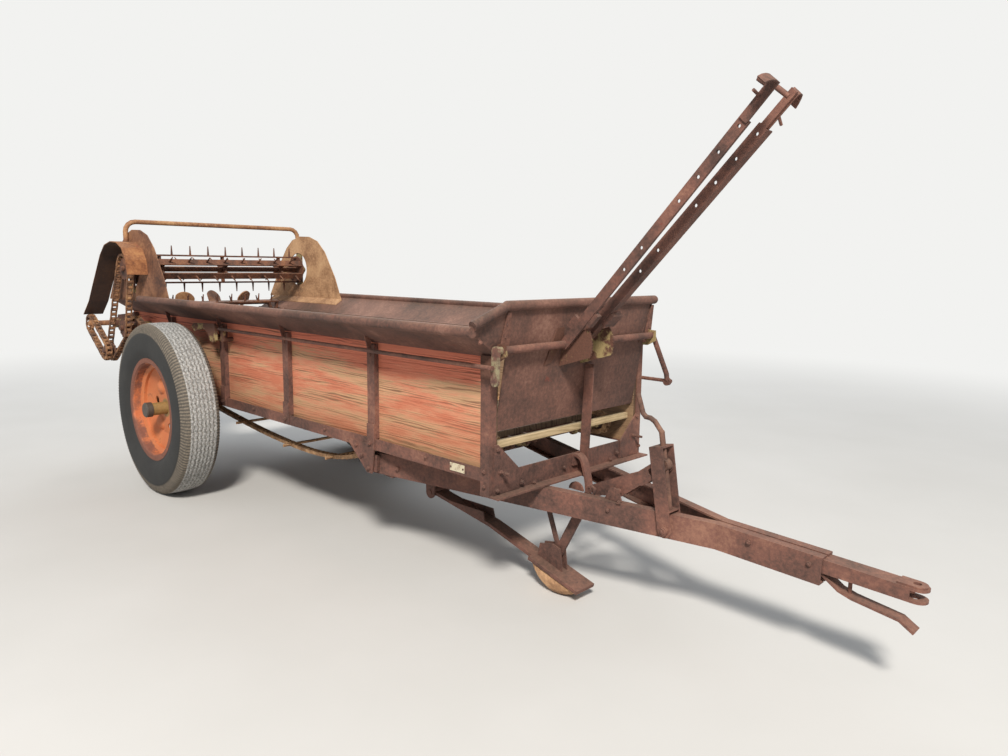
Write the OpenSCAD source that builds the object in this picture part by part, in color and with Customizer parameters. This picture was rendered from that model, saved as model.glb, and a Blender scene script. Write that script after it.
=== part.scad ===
// Two-wheel, ground-driven manure spreader, parked on its own stand. Millimetres.
// The modules use a vehicle frame: x = 0 on the axle, +x towards the hitch, y = 0 on
// the centre line, right side at negative y, z = 0 on the ground.

/* [Wheels] */
// Outer radius of the tyre
tyre_r = 465; // [440:1:490]
// Widest part of the tyre
tyre_w = 210; // [180:1:230]
// Wall of the tyre
tyre_wall = 13; // [8:1:20]
// Centre plane of each wheel from the centre line
wheel_y = 673; // [665:1:720]
// Bead seat radius of the rim
bead_r = 254; // [245:1:262]
// Height of the rim flange over the bead seat
flange_h = 24; // [15:1:30]
// Plate thickness of the rim
rim_t = 5; // [3:0.5:8]
// Radius of the hub barrel
hub_r = 34; // [32:1:44]
// Radius of the cap on the hub's outer end
cap_r = 40; // [38:1:48]
// Length of that cap
cap_l = 34; // [26:1:40]
// How far the disc stands outward in the rim
disc_out = 25; // [10:1:28]
// Radius of the three hand holes in the disc
hand_hole_r = 30; // [20:1:34]
// Radius of the three pressed bumps in the disc
bump_r = 46; // [30:1:48]
// Height of those bumps
bump_h = 25; // [15:1:30]
// Distance of holes and bumps from the axle
ring_r = 118; // [110:1:128]
// Radius of the axle
axle_r = 19; // [15:1:24]
// How far the hub ends outside the tyre centre plane
hub_out = 116; // [100:1:125]

/* [Box] */
// Front end of the box
box_front = 2298; // [2200:1:2400]
// Rear end of the side boards
box_rear = -1010; // [-1060:1:-960]
// Outer face of posts, sills and stakes from the centre line
frame_y = 472; // [455:1:480]
// Depth of a stake
stake_d = 22; // [12:1:30]
// Width of a stake
stake_w = 50; // [30:1:70]
// Thickness of a side board
board_t = 24; // [15:1:30]
// Underside of the sills
sill_z = 486; // [485:1:500]
// Height and width of a sill angle
sill_h = 48; // [40:1:60]
// Plate thickness of the angles
angle_t = 6; // [4:1:10]
// Top face of the floor
floor_z = 612; // [600:1:630]
// Thickness of the floor planks
floor_t = 24; // [15:1:30]
// Height where the boards end and the flare starts
wood_top = 936; // [900:1:960]
// Half width at the rolled top edge
flare_y = 613; // [580:1:640]
// Height of the rolled top edge
flare_z = 1038; // [1010:1:1060]
// Radius of the rolled edge
roll_r = 19; // [12:1:25]
// Sheet thickness of flares, panel and arches
sheet_t = 3; // [2:0.5:6]
// Half width of the front roll
front_roll_y = 451; // [430:1:470]
// Height of the front roll
front_roll_z = 1120; // [1090:1:1150]
// Lean of the front panel, forward over its height
front_lean = 77; // [60:1:80]
// Front end of the left flare, its corner piece is missing
left_flare_end = 2236; // [2150:1:2250]

/* [Hoop] */

// Place of the pipe hoop over the beaters
hoop_x = -700; // [-720:1:-680]
// Height of its middle
hoop_z = 1490; // [1486:1:1500]
// Radius of its pipe
hoop_r = 14; // [10:1:16]
// Radius of its two bends
hoop_bend = 60; // [50:1:64]

/* [Beaters] */
// Upper beater shaft from the axle
upper_x = -665; // [-690:1:-650]
// Upper beater shaft over the ground
upper_z = 1209; // [1200:1:1220]
// Upper beater radius to the bars
upper_bar_r = 84; // [70:1:95]
// Upper beater radius to the tine tips
upper_tip_r = 145; // [120:1:150]
// Main beater shaft from the axle
main_x = -740; // [-745:1:-730]
// Main beater shaft over the ground
main_z = 850; // [840:1:855]
// Main beater radius to the bars
main_bar_r = 148; // [120:1:160]
// Main beater radius to the tine tips
main_tip_r = 204; // [180:1:208]
// Distributor shaft from the axle
dist_x = -1185; // [-1200:1:-1180]
// Distributor shaft over the ground
dist_z = 852; // [840:1:860]
// Distributor radius to the blade tips
dist_tip_r = 225; // [200:1:230]
// Radius of the three shafts
shaft_r = 17; // [12:1:22]
// Half length of the tined drums
drum_y = 410; // [380:1:418]
// Half length of the upper beater, which reaches out between the arches
upper_half = 545; // [500:1:550]
// Radius of the discs on its ends
end_disc_r = 94; // [90:1:100]

/* [Drive] */
// Plane of the axle chain
chain_a_y = 530; // [525:1:535]
// Plane of the beater chain
chain_b_y = 610; // [605:1:615]
// Plane of the distributor chain
chain_c_y = 650; // [646:1:655]
// Width of a chain
chain_w = 24; // [16:1:26]
// Depth of a chain
chain_t = 20; // [14:1:24]
// Sprocket thickness
sprocket_t = 10; // [6:1:12]
// Lower chain shaft from the axle
low_x = -945; // [-955:1:-935]
// Lower chain shaft over the ground
low_z = 695; // [685:1:705]

/* [Tongue] */
// Height of the tongue channels
tongue_h = 90; // [80:1:95]
// Flange width of the tongue channels
tongue_f = 36; // [25:1:45]
// Web thickness of the tongue channels
tongue_t = 7; // [5:1:10]
// Where the tongue starts under the box
tongue_x = 1575; // [1560:1:1600]
// Where the channels turn parallel
tongue_bend = 2955; // [2900:1:3000]
// Front end of the channels
tongue_end = 3311; // [3250:1:3360]
// Outer half width of the parallel part
tongue_y = 41; // [38:1:50]
// Outer half width where the tongue starts
tongue_rear_y = 449; // [440:1:449]
// Underside of the tongue at its rear end
tongue_z = 377.9; // [372:0.1:377.9]
// Downward slope of the tongue in degrees
tongue_slope = 2.9; // [2.9:0.1:3.2]
// Nose of the hitch
hitch_x = 3606; // [3590:1:3640]
// Hitch pin hole from the axle
hitch_pin_x = 3570; // [3560:1:3576]
// Bore radius of the hitch pin hole
hitch_bore_r = 11.5; // [9:0.5:14]
// Height of the hitch head
head_h = 44; // [40:1:50]

/* [Stand] */
// Side plane of the parking stand
stand_y = -140; // [-144:1:-136]
// Rear pivot of the stand leg from the axle
leg_x = 1640; // [1630:1:1650]
// Rear pivot of the stand leg over the ground
leg_z = 247; // [240:1:255]
// Where the leg bends down, from the axle
knee_x = 2000; // [1980:1:2020]
// Where the leg bends down, over the ground
knee_z = 183; // [180:1:186]
// Front end of the leg from the axle
toe_x = 2487; // [2480:1:2490]
// Front end of the leg over the ground
toe_z = 45; // [43:1:47]
// Width of the stand leg
leg_w = 66; // [60:1:70]
// Thickness of the stand leg
leg_t = 14; // [10:1:16]
// Pin that carries the link on the leg, from the axle
link_x = 2345; // [2340:1:2350]
// Pin that carries the link on the leg, over the ground
link_z = 152; // [148:1:156]
// Pivot of the bell crank from the axle
crank_x = 2598; // [2594:1:2602]
// Pivot of the bell crank over the ground
crank_z = 446; // [444:1:450]
// How far the link's top pin is behind the bell crank's pivot
crank_back = 108; // [104:1:112]
// How far the link's top pin is below the bell crank's pivot
crank_down = 16; // [12:1:20]
// Foot of the jack from the axle
jack_x = 2800; // [2795:1:2805]
// Foot of the jack over the ground
jack_z = 351; // [348:1:353]
// Rearward lean of the jack in degrees
jack_lean = 9.5; // [9:0.1:10]
// Height of the jack bracket
jack_h = 294; // [285:1:300]
// Centre plane of the jack
jack_y = -76.5; // [-78:0.5:-75]
// Radius of the screw
screw_r = 10; // [8:1:11]
// Height of the nut over the jack's foot
nut_up = 226; // [222:1:230]
// Radius of the nut
nut_r = 20; // [17:1:22]
// Radius of the shoe
shoe_r = 145; // [144:1:145]
// Width of the shoe
shoe_w = 108; // [100:1:116]

/* [Controls] */
// Torque rods from the axle
torque_x = 2356; // [2354:1:2358]
// Torque rods over the ground
torque_z = 968; // [966:1:970]
// Radius of the torque rods
torque_r = 14; // [11:1:14]
// Radius of the control rods
rod_r = 8; // [6:1:9]
// Length of the hand levers
lever_l = 1124; // [1050:1:1140]
// Angle of the right hand lever over level
right_angle = 47.3; // [46:0.1:48]
// Angle of the left hand lever over level
left_angle = 46.2; // [45:0.1:47]
// Side plane of the right lever
lever_right_y = -143; // [-145:1:-141]
// Side plane of the left lever
lever_left_y = -52; // [-54:1:-50]
// Width of a lever bar
lever_w = 38; // [34:1:40]
// Radius of the toothed quadrants
quadrant_r = 114; // [110:1:115]
// Drop from the torque rod to the right control rod
right_drop = 57; // [54:1:60]
// Drop from the torque rod to the left control rod
left_drop = 203; // [198:1:208]

/* [Hidden] */
$fn = 48;
running = 0.05;
seat = 0.3;
bore_gap = 3;
rear_end = dist_x - dist_tip_r;
mid_x = (hitch_x + rear_end) / 2;
board_y = frame_y - stake_d;
inner_y = board_y - board_t;
sill_top = sill_z + sill_h;
floor_under = floor_z - floor_t;
flare_slope = (flare_z - wood_top) / (flare_y - board_y);
arch_y = 566;
arch_z = wood_top + flare_slope * (arch_y - board_y);
front_x = box_front;
panel_low = 665;
cross_z = 432;
cross_h = 84;
post_w = 46;
stake_x = [-940, -380, 270, 920, 1600];
cross_x = [-940, -300, 270, 920, 1560, 2090];
right_pin = [torque_x - 8, torque_z - right_drop];
left_pin = [torque_x + 44, torque_z - left_drop];
link_top = [crank_x - crank_back, crank_z - crank_down];
toe_angle = atan2(knee_z - toe_z, toe_x - knee_x);
lean_angle = atan2(front_lean, front_roll_z - panel_low);
sill_front = front_x - post_w - seat;
cross_member_h = 40;
hub_y = wheel_y + hub_out;
head_w = 66;
head_t = 8;
guard_in = arch_y + seat;
guard_out = 683;

// Profile in x and z, thick along y from y0 to y0 + t
module side_plate(y0, t) {
    translate([0, y0 + t, 0]) rotate([90, 0, 0]) linear_extrude(t) children();
}
// Round bar along y
module along_y(x, z, r, y0, y1) {
    translate([x, y0, z]) rotate([-90, 0, 0]) cylinder(h = y1 - y0, r = r);
}
// Round bar between two points in space
module rod(a, b, r) {
    d = b - a;
    translate(a) rotate([0, acos(d[2] / norm(d)), atan2(d[1], d[0])])
        cylinder(h = norm(d), r = r);
}
// Round bar through a list of points with round elbows
module bent_rod(pts, r) {
    for (i = [0 : len(pts) - 2]) rod(pts[i], pts[i + 1], r);
    for (i = [1 : 1 : len(pts) - 2]) translate(pts[i]) sphere(r = r + 0.4);
}
// Flat bar profile between two points with round ends
module bar2(a, b, w) {
    d = b - a;
    translate(a) rotate(atan2(d[1], d[0])) translate([0, -w / 2]) square([norm(d), w]);
    translate(a) circle(d = w + 0.8);
    translate(b) circle(d = w + 0.8);
}
// Point i of a line of points, moved h to its left with a mitre
function side_point(p, i, h) =
    let (n = len(p) - 1, v = p[min(i + 1, n)] - p[min(i, n - 1)], u = p[max(i, 1)] - p[max(i - 1, 0)])
    let (a = v / norm(v), b = u / norm(u), s = [-a[1] - b[1], a[0] + b[0]])
    p[i] + s * h / (s * [-a[1], a[0]]);
// Strip of width w along a line of points
module strip(p, w) {
    polygon(concat([for (i = [0 : len(p) - 1]) side_point(p, i, w / 2)],
        [for (i = [len(p) - 1 : -1 : 0]) side_point(p, i, -w / 2)]));
}
// Mirrors its children to the left side when side is 1
module on_side(side) {
    mirror([0, side > 0 ? 1 : 0, 0]) children();
}
function polar(r, a) = [r * cos(a), r * sin(a)];
// Points of a tight loop round circles [x, z, r] listed anticlockwise, grown by off
function tangent_angle(c, d, off) =
    atan2(d[1] - c[1], d[0] - c[0]) - 90
    + asin(((d[2] + off) - (c[2] + off)) / norm([d[0] - c[0], d[1] - c[1]]));
function loop(cs, off, n = 12) = [
    for (i = [0 : len(cs) - 1])
        let (p = cs[(i + len(cs) - 1) % len(cs)], c = cs[i], q = cs[(i + 1) % len(cs)])
        let (a0 = tangent_angle(p, c, off), a1 = tangent_angle(c, q, off))
        let (turn = a1 - a0 - 360 * floor((a1 - a0) / 360))
        for (k = [0 : n]) [c[0], c[1]] + polar(c[2] + off, a0 + turn * k / n)
];

BEATER_LOOP = [[upper_x, upper_z, 84], [low_x, low_z, 58], [main_x, main_z, 72]];
AXLE_LOOP = [[0, tyre_r, 96], [main_x, main_z, 62]];
DIST_LOOP = [[low_x, low_z, 52], [dist_x, dist_z, 52]];

module chain_band(cs, y) {
    side_plate(y - chain_w / 2, chain_w) difference() {
        polygon(loop(cs, chain_t / 2));
        polygon(loop(cs, -chain_t / 2));
    }
}
// Sprocket with teeth inside a chain's loop, gap off the chain, bored for its shaft
module sprocket(x, z, r, y, teeth, bore, gap = 2) {
    root_r = r - chain_t / 2 - 7 - gap;
    side_plate(y - sprocket_t / 2, sprocket_t) translate([x, z]) difference() {
        union() {
            circle(r = root_r);
            for (k = [0 : teeth - 1]) rotate(k * 360 / teeth)
                polygon([[0, -7], [root_r + 7, -3], [root_r + 7, 3], [0, 7]]);
        }
        circle(r = bore);
    }
}

module sills() color("#7a4a34") {
    for (s = [-1, 1]) on_side(s) {
        side_plate(-frame_y, angle_t)
            translate([box_rear, sill_z]) square([sill_front - box_rear, sill_h]);
        translate([box_rear, -frame_y, sill_z])
            cube([sill_front - box_rear, sill_h, angle_t]);
    }
    for (x = cross_x) translate([x - 25, -inner_y + seat, floor_under - cross_member_h])
        cube([50, 2 * (inner_y - seat), cross_member_h]);
}

module floor_planks() color("#6b5038") {
    plank = (2 * inner_y - 6) / 6;
    for (i = [0 : 5]) translate([-400, -inner_y + seat + i * (plank + 1), floor_under])
        cube([2520, plank, floor_t]);
}
// Board across the front of the floor
module front_strip() color("#b59a68") {
    translate([2236, -inner_y + seat, floor_under + 8])
        cube([26, 2 * (inner_y - seat), floor_t]);
}

module boards(s) color("#b4442c") on_side(s) {
    low = sill_z + angle_t + seat;
    // Columns: underside and height of each board
    rows = [[low, 230], [low + 231, 150], [low + 382, wood_top - low - 382]];
    for (r = rows) difference() {
        translate([box_rear, -board_y, r[0]])
            cube([front_x - angle_t - seat - box_rear, board_t, r[1]]);
        along_y(main_x, main_z, shaft_r + bore_gap, -board_y - 1, -inner_y + 1);
        along_y(APRON_REAR[0], APRON_REAR[1], shaft_r + bore_gap, -board_y - 1, -inner_y + 1);
    }
}

module stakes(s) color("#6f4030") on_side(s) {
    for (i = [0 : len(stake_x) - 1]) {
        x = stake_x[i];
        translate([x - stake_w / 2, -frame_y, sill_top])
            cube([stake_w, stake_d, wood_top - sill_top - 6]);
        // Strap that laps down over the sill
        translate([x - stake_w / 2, -frame_y - angle_t, sill_z + 2])
            cube([stake_w, angle_t, sill_h + 60]);
        if (i > 0) side_brace(x);
    }
    // Gusset that comes down to the rear end of the tongue
    side_plate(-frame_y - angle_t, angle_t)
        polygon([[1427, 506], [1572, 383], [1606, 383], [1625, 511]]);
}
function flare_under(y) = wood_top + seat + flare_slope * (y - board_y);
function flare_over(y) = flare_under(y) + sheet_t;
// Small brace from a stake's top out to the flare
module side_brace(x) {
    translate([x - 3, 0, 0]) rotate([90, 0, 90]) linear_extrude(6) polygon([
        [-frame_y + 1, wood_top - 60], [-frame_y - 2, wood_top - 60],
        [-frame_y - 28, flare_under(frame_y + 28) - seat - 8],
        [-frame_y - 28, flare_under(frame_y + 28) - seat],
        [-frame_y, flare_under(frame_y) - seat], [-frame_y + 1, wood_top - 10]]);
}

// Frame of the leaning front panel: z runs up the panel, x = 0 is its front face
module panel_frame() {
    translate([front_x - 18, 0, panel_low]) rotate([0, lean_angle, 0]) children();
}
function panel_x(z) = front_x - 18 + (z - panel_low) * tan(lean_angle);
function up_panel(z) = (z - panel_low) / cos(lean_angle);
roll_x = panel_x(front_roll_z);
module panel_plate(x0, t, pts) {
    panel_frame() translate([x0, 0, 0]) rotate([90, 0, 90]) linear_extrude(t) polygon(pts);
}

module flare_sheet(x0, x1, out_y) {
    translate([x0, 0, 0]) rotate([90, 0, 90]) linear_extrude(x1 - x0) polygon([
        [-inner_y - 4, wood_top + seat], [-inner_y - 4, wood_top + seat + sheet_t],
        [-board_y, flare_over(board_y)], [-out_y, flare_over(out_y)],
        [-out_y, flare_under(out_y)], [-board_y, wood_top + seat]]);
}
module flare_right() color("#7d4a36") {
    corner = [roll_x, -front_roll_y, front_roll_z];
    difference() {
        union() {
            flare_sheet(-457, front_x + 60, flare_y);
            panel_plate(-sheet_t, sheet_t, [
                [-inner_y - 0.4, up_panel(wood_top + 4)], [-board_y, up_panel(wood_top + 4)],
                [-flare_y + 9, up_panel(flare_over(flare_y - 9))], [-flare_y + 9, up_panel(1058)],
                [-front_roll_y - 5, up_panel(front_roll_z - 9)],
                [-front_roll_y + 2, up_panel(front_roll_z - 22)]]);
        }
        panel_frame() translate([0, -700, -50]) cube([200, 1400, 700]);
        translate(corner) sphere(r = roll_r - 1 + seat);
    }
    flare_sheet(box_rear, -457, arch_y + 12);
    translate([-457, -flare_y, flare_z]) rotate([0, 90, 0])
        cylinder(h = front_x + 58 + 457, r = roll_r);
    difference() {
        rod(corner, [front_x + 56, -flare_y + 2, flare_z + 20], roll_r - 2);
        translate(corner) sphere(r = roll_r - 1 + seat);
    }
}
module flare_left() color("#7d4a36") on_side(1) {
    flare_sheet(-457, left_flare_end, flare_y);
    flare_sheet(box_rear, -457, arch_y + 12);
    translate([-457, -flare_y, flare_z]) rotate([0, 90, 0])
        cylinder(h = left_flare_end + 457, r = roll_r);
}

module front_panel() color("#7d4a36") {
    w = inner_y - seat;
    top = up_panel(front_roll_z);
    panel_plate(-sheet_t, sheet_t, [[-w, 0], [w, 0], [w, up_panel(wood_top)],
        [front_roll_y - 3, top], [-front_roll_y + 3, top], [-w, up_panel(wood_top)]]);
    panel_frame() translate([-27, -w, 0]) cube([25, 2 * w, sheet_t]);
    along_y(roll_x, front_roll_z, roll_r - 1, -front_roll_y, front_roll_y);
    for (s = [-1, 1]) {
        translate([roll_x, s * front_roll_y, front_roll_z]) sphere(r = roll_r - 1);
        // Bolted strap up the panel's edge
        on_side(s) panel_plate(0, 3, [[-w + 1, up_panel(wood_top + 2)],
            [-w + 34, up_panel(wood_top + 2)], [-front_roll_y + 14, top - 24],
            [-front_roll_y + 5, top - 24]]);
    }
}

module front_frame() color("#7a4632") {
    for (s = [-1, 1]) on_side(s) {
        translate([front_x - post_w, -frame_y, cross_z])
            cube([post_w, angle_t, wood_top + 9 - cross_z]);
        translate([front_x - angle_t, -frame_y, cross_z])
            cube([angle_t, post_w - 12, wood_top - cross_z]);
        translate([front_x, 0, 0]) rotate([90, 0, 90]) linear_extrude(angle_t) polygon([
            [-frame_y + 20, cross_z + cross_h + 106], [-frame_y + 40, cross_z + cross_h + 106],
            [-319, cross_z + cross_h], [-319, cross_z + 8], [-frame_y + 20, cross_z + 8]]);
    }
    translate([front_x - angle_t, -frame_y, cross_z]) cube([angle_t, 2 * frame_y, cross_h]);
    translate([front_x - angle_t, -frame_y, cross_z]) cube([52, 2 * frame_y, angle_t]);
    // Centre post, an angle that leans with the panel
    foot = cross_z + angle_t;
    head = 878;
    for (y = [[40, 50, 6], [40, 6, 44]]) side_plate(y[0], y[1]) polygon([
        [front_x + seat, foot], [front_x + seat + y[2], foot],
        [panel_x(head) + seat + y[2], head], [panel_x(head) + seat, head]]);
}

module arch_shape() {
    difference() {
        polygon([
            [-145, arch_z + 6], [-213, 1160], [-330, 1330], [-420, 1405], [-520, 1436],
            [-640, 1440], [-740, 1415], [-820, 1360], [-900, 1270], [-990, 1130],
            [-1075, arch_z + 6]]);
        translate([upper_x - 6, upper_z + 4]) circle(r = 112);
    }
}
module arch(s) color("#8a5a3c") on_side(s) {
    side_plate(-arch_y, 5) arch_shape();
    // Foot bent to lie along the flare
    translate([-1010, 0, 0]) rotate([90, 0, 90]) linear_extrude(865) polygon([
        [-arch_y, flare_over(arch_y) + seat], [-arch_y, arch_z + 12],
        [-arch_y + 5, arch_z + 12], [-arch_y + 46, flare_over(arch_y - 46) + 5],
        [-arch_y + 46, flare_over(arch_y - 46) + seat]]);
}

module hoop() color("#8a5640") {
    hy = arch_y + hoop_r + 2 * seat;
    rise = hoop_z - hoop_bend;
    // Bent pipe from one foot over to the other, as [y, z]
    right = concat([[-hy, 1372]], [for (a = [0 : 22.5 : 90])
        [-hy + hoop_bend * (1 - cos(a)), rise + hoop_bend * sin(a)]]);
    pipe = concat(right, [for (i = [len(right) - 1 : -1 : 0]) [-right[i][0], right[i][1]]]);
    bent_rod([for (p = pipe) [hoop_x, p[0], p[1]]], hoop_r);
}

GUARD_PATH = [[-430, 1178], [-446, 1262], [-500, 1330], [-575, 1362], [-670, 1368],
              [-770, 1348], [-850, 1290], [-1004, 1118], [-1108, 998], [-1224, 910]];
module chain_guard() color("#8a4c30") {
    side_plate(-guard_out, guard_out - guard_in) strip(GUARD_PATH, 4);
}

module distributor_arms() color("#6a4230") {
    x0 = stake_x[0];
    for (s = [-1, 1]) on_side(s) difference() {
        side_plate(-frame_y - 8, 8) union() {
            polygon([[x0 - 25, 760], [x0 + 25, 760], [x0 + 25, 928],
                [dist_x - 20, dist_z + 50], [dist_x - 50, dist_z], [dist_x - 20, dist_z - 50]]);
            if (s < 0) polygon([[low_x - 36, low_z - 36], [low_x + 36, low_z - 36],
                [x0 + 25, 770], [x0 - 70, 790]]);
        }
        along_y(dist_x, dist_z, shaft_r + bore_gap, -frame_y - 10, -frame_y + 2);
        along_y(low_x, low_z, low_r + running, -frame_y - 10, -frame_y + 2);
    }
}

// Ring bearing round a shaft from y0 to y1 with a foot plate at y1
module bearing(x, z, r, y0, y1) {
    difference() {
        union() {
            along_y(x, z, 34, y0, y1);
            translate([x - 60, y1 - 10, z - 26]) cube([120, 10, 52]);
        }
        along_y(x, z, r + running, y0 - 1, y1 + 1);
    }
}
module bearings() color("#b08838") {
    for (s = [-1, 1]) on_side(s) {
        bearing(main_x, main_z, shaft_r, -508, -board_y);
        bearing(dist_x, dist_z, shaft_r, -frame_y - 44, -frame_y - 8);
        // Upper bearing on an upright strap across the arch's opening
        difference() {
            union() {
                along_y(upper_x, upper_z, 34, -arch_y - 24, -arch_y);
                side_plate(-arch_y - 8, 8) translate([upper_x - 35, upper_z - 142])
                    square([70, 284]);
            }
            along_y(upper_x, upper_z, shaft_r + running, -arch_y - 30, -arch_y + 2);
        }
        // Rear apron bearing
        difference() {
            along_y(APRON_REAR[0], APRON_REAR[1], 27, -frame_y + angle_t + seat, -board_y);
            along_y(APRON_REAR[0], APRON_REAR[1], shaft_r + running, -frame_y, -inner_y);
        }
        // Idler castings from the front strip back to the front apron shaft
        for (y = [-250, -160]) side_plate(y, 14) difference() {
            union() {
                translate([APRON_FRONT[0], APRON_FRONT[1]]) circle(r = 27);
                translate([APRON_FRONT[0], APRON_FRONT[1]]) square([2236 - seat - APRON_FRONT[0], 26]);
            }
            translate([APRON_FRONT[0], APRON_FRONT[1]]) circle(r = idler_r + running);
        }
    }
    // Casting beside the wheel that shields the drive clutch
    side_plate(-530, 14) polygon([[318, 925], [308, 937], [200, 932], [60, 925], [41, 905],
        [70, 882], [186, 903], [232, 882], [250, 845], [285, 835], [318, 850]]);
    along_y(stake_x[2], 857, 17, -520, -frame_y);
}

module axle() color("#4a3a32") {
    along_y(0, tyre_r, axle_r, -hub_y + 20, hub_y - 20);
    sprocket(0, tyre_r, AXLE_LOOP[0][2], -chain_a_y, 16, axle_r - 1, chain_seat);
    for (s = [-1, 1]) on_side(s) difference() {
        union() {
            side_plate(-frame_y - 18, 44) translate([0, tyre_r]) circle(r = 40);
            side_plate(-frame_y - 18, 18) translate([-60, tyre_r]) square([120, 62]);
        }
        translate([-70, -frame_y, sill_z]) cube([140, 100, 60]);
    }
}
low_r = 14;
chain_seat = 1.25;
module low_shaft() color("#5a4034") {
    along_y(low_x, low_z, low_r, -chain_c_y - 22, -frame_y - seat);
    along_y(low_x, low_z, 24, -frame_y - 22, -frame_y - 8 - seat);
    sprocket(low_x, low_z, BEATER_LOOP[1][2], -chain_b_y, 9, low_r - 1, chain_seat);
    sprocket(low_x, low_z, DIST_LOOP[0][2], -chain_c_y, 8, low_r - 1, chain_seat);
}

apron_z = floor_z + seat;
apron_t = 12;
// Apron shafts: x, z and the chain's middle radius round them
APRON_FRONT = [2175, 577, apron_z + apron_t / 2 - 577];
APRON_REAR = [-470, 561, apron_z + apron_t / 2 - 561];
idler_r = 15;
// Columns: x, z of the sagging return run, from the front
APRON_LOW = [[1700, 498], [1540, 484], [1270, 372], [950, 333], [500, 352], [0, 405], [-250, 448]];
function arc(c, a0, a1, n) = [for (k = [0 : n]) [c[0], c[1]] + polar(c[2], a0 + (a1 - a0) * k / n)];
APRON_PATH = concat([[800, apron_z + apron_t / 2]], arc(APRON_FRONT, 90, -90, 8), APRON_LOW,
    arc(APRON_REAR, -90, -270, 8), [[798, apron_z + apron_t / 2]]);
module apron() color("#6a4a34") {
    for (y = [-340, 340]) side_plate(y - 12, 24) {
        strip(APRON_PATH, apron_t);
        translate([790, apron_z]) square([20, apron_t]);
    }
    for (x = [APRON_REAR[0] + 60 : 290 : APRON_FRONT[0]])
        translate([x, -395, apron_z + 1]) cube([22, 790, 13]);
    for (i = [0 : len(APRON_LOW) - 2])
        translate([(APRON_LOW[i][0] + APRON_LOW[i + 1][0]) / 2, -395,
            (APRON_LOW[i][1] + APRON_LOW[i + 1][1]) / 2 - 8]) cube([22, 790, 14]);
}
module apron_shafts() color("#5a4034") {
    along_y(APRON_FRONT[0], APRON_FRONT[1], idler_r, -inner_y + 1, inner_y - 1);
    along_y(APRON_REAR[0], APRON_REAR[1], shaft_r, -frame_y, frame_y + 58);
    for (c = [APRON_FRONT, APRON_REAR], y = [-340, 340])
        along_y(c[0], c[1], c[2] - apron_t / 2 - 4, y - 8, y + 8);
    side_plate(frame_y + 44, 14) translate([APRON_REAR[0], APRON_REAR[1]]) {
        circle(r = 96);
        for (k = [0 : 19]) rotate(k * 18) polygon([[0, 0], [94, -12], [104, 2], [0, 14]]);
    }
}

// Section of the tyre as [radius, across], t inwards from the outer face
bead_y = 82;
function half_tyre(t) = let (w = tyre_w / 2 - t, r = tyre_r - t) [
    [bead_r + seat, bead_y - seat - t], [bead_r + flange_h + 2, bead_y - seat - t],
    [bead_r + 60, w - 3], [bead_r + 104, w], [r - 55, w - 3], [r - 22, w - 13],
    [r - 8, w - 30], [r, 40]];
function tyre_section(t, foot) = let (h = half_tyre(t)) concat(
    [for (i = [0 : len(h) - 1]) [h[i][0] - (i == 0 ? foot : 0), -h[i][1]]],
    [for (i = [len(h) - 1 : -1 : 0]) [h[i][0] - (i == 0 ? foot : 0), h[i][1]]]);
module turned(y) {
    translate([0, y, tyre_r]) rotate([90, 0, 0]) rotate_extrude($fn = 96) children();
}
module tyre(s) color("#2c2b2a") {
    turned(s * wheel_y) difference() {
        polygon(tyre_section(0, 0));
        polygon(tyre_section(tyre_wall, 20));
    }
}
module rim(s) color("#b8492a") on_side(s) {
    b = bead_r;
    // Section drawn as [radius, outward from the centre plane]
    difference() {
        turned(-wheel_y) polygon([
            [b + flange_h, 87], [b + flange_h, bead_y], [b, bead_y], [b, 60], [b - 3, 40],
            [b - 26, 30], [b - 26, -30], [b - 3, -40], [b, -60], [b, -bead_y],
            [b + flange_h, -bead_y], [b + flange_h, -87], [b, -87], [b - 7, -78],
            [b - 9, -44], [b - 32, -34], [b - 32, disc_out - 14], [150, disc_out - 34],
            [96, disc_out - 30], [hub_r, disc_out - 30], [hub_r, -96], [axle_r + running, -96],
            [axle_r + running, hub_out - 19], [0, hub_out - 19], [0, hub_out],
            [cap_r - 5, hub_out], [cap_r, hub_out - 5], [cap_r, hub_out - cap_l],
            [hub_r, hub_out - cap_l], [hub_r, disc_out - 22], [96, disc_out - 22],
            [146, disc_out - 26], [b - 32, disc_out - 6], [b - 32, 34], [b - 9, 44],
            [b - 7, 78], [b, 87]]);
        for (k = [0 : 2]) on_disc(k * 120 + 50) translate([0, 0, -60])
            cylinder(h = 140, r = hand_hole_r);
    }
    for (k = [0 : 2]) on_disc(k * 120 + 110) translate([0, 0, disc_out - 27]) bump();
}
// Place on the right wheel's disc at angle a, z outward from the centre plane
module on_disc(a) {
    translate([0, -wheel_y, tyre_r]) rotate([0, -a, 0]) translate([ring_r, 0, 0])
        rotate([90, 0, 0]) children();
}
module bump() {
    r = (bump_r * bump_r + bump_h * bump_h) / (2 * bump_h);
    intersection() {
        translate([0, 0, bump_h - r]) sphere(r = r);
        cylinder(h = bump_h + 2, r = bump_r + 6);
    }
}

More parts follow.
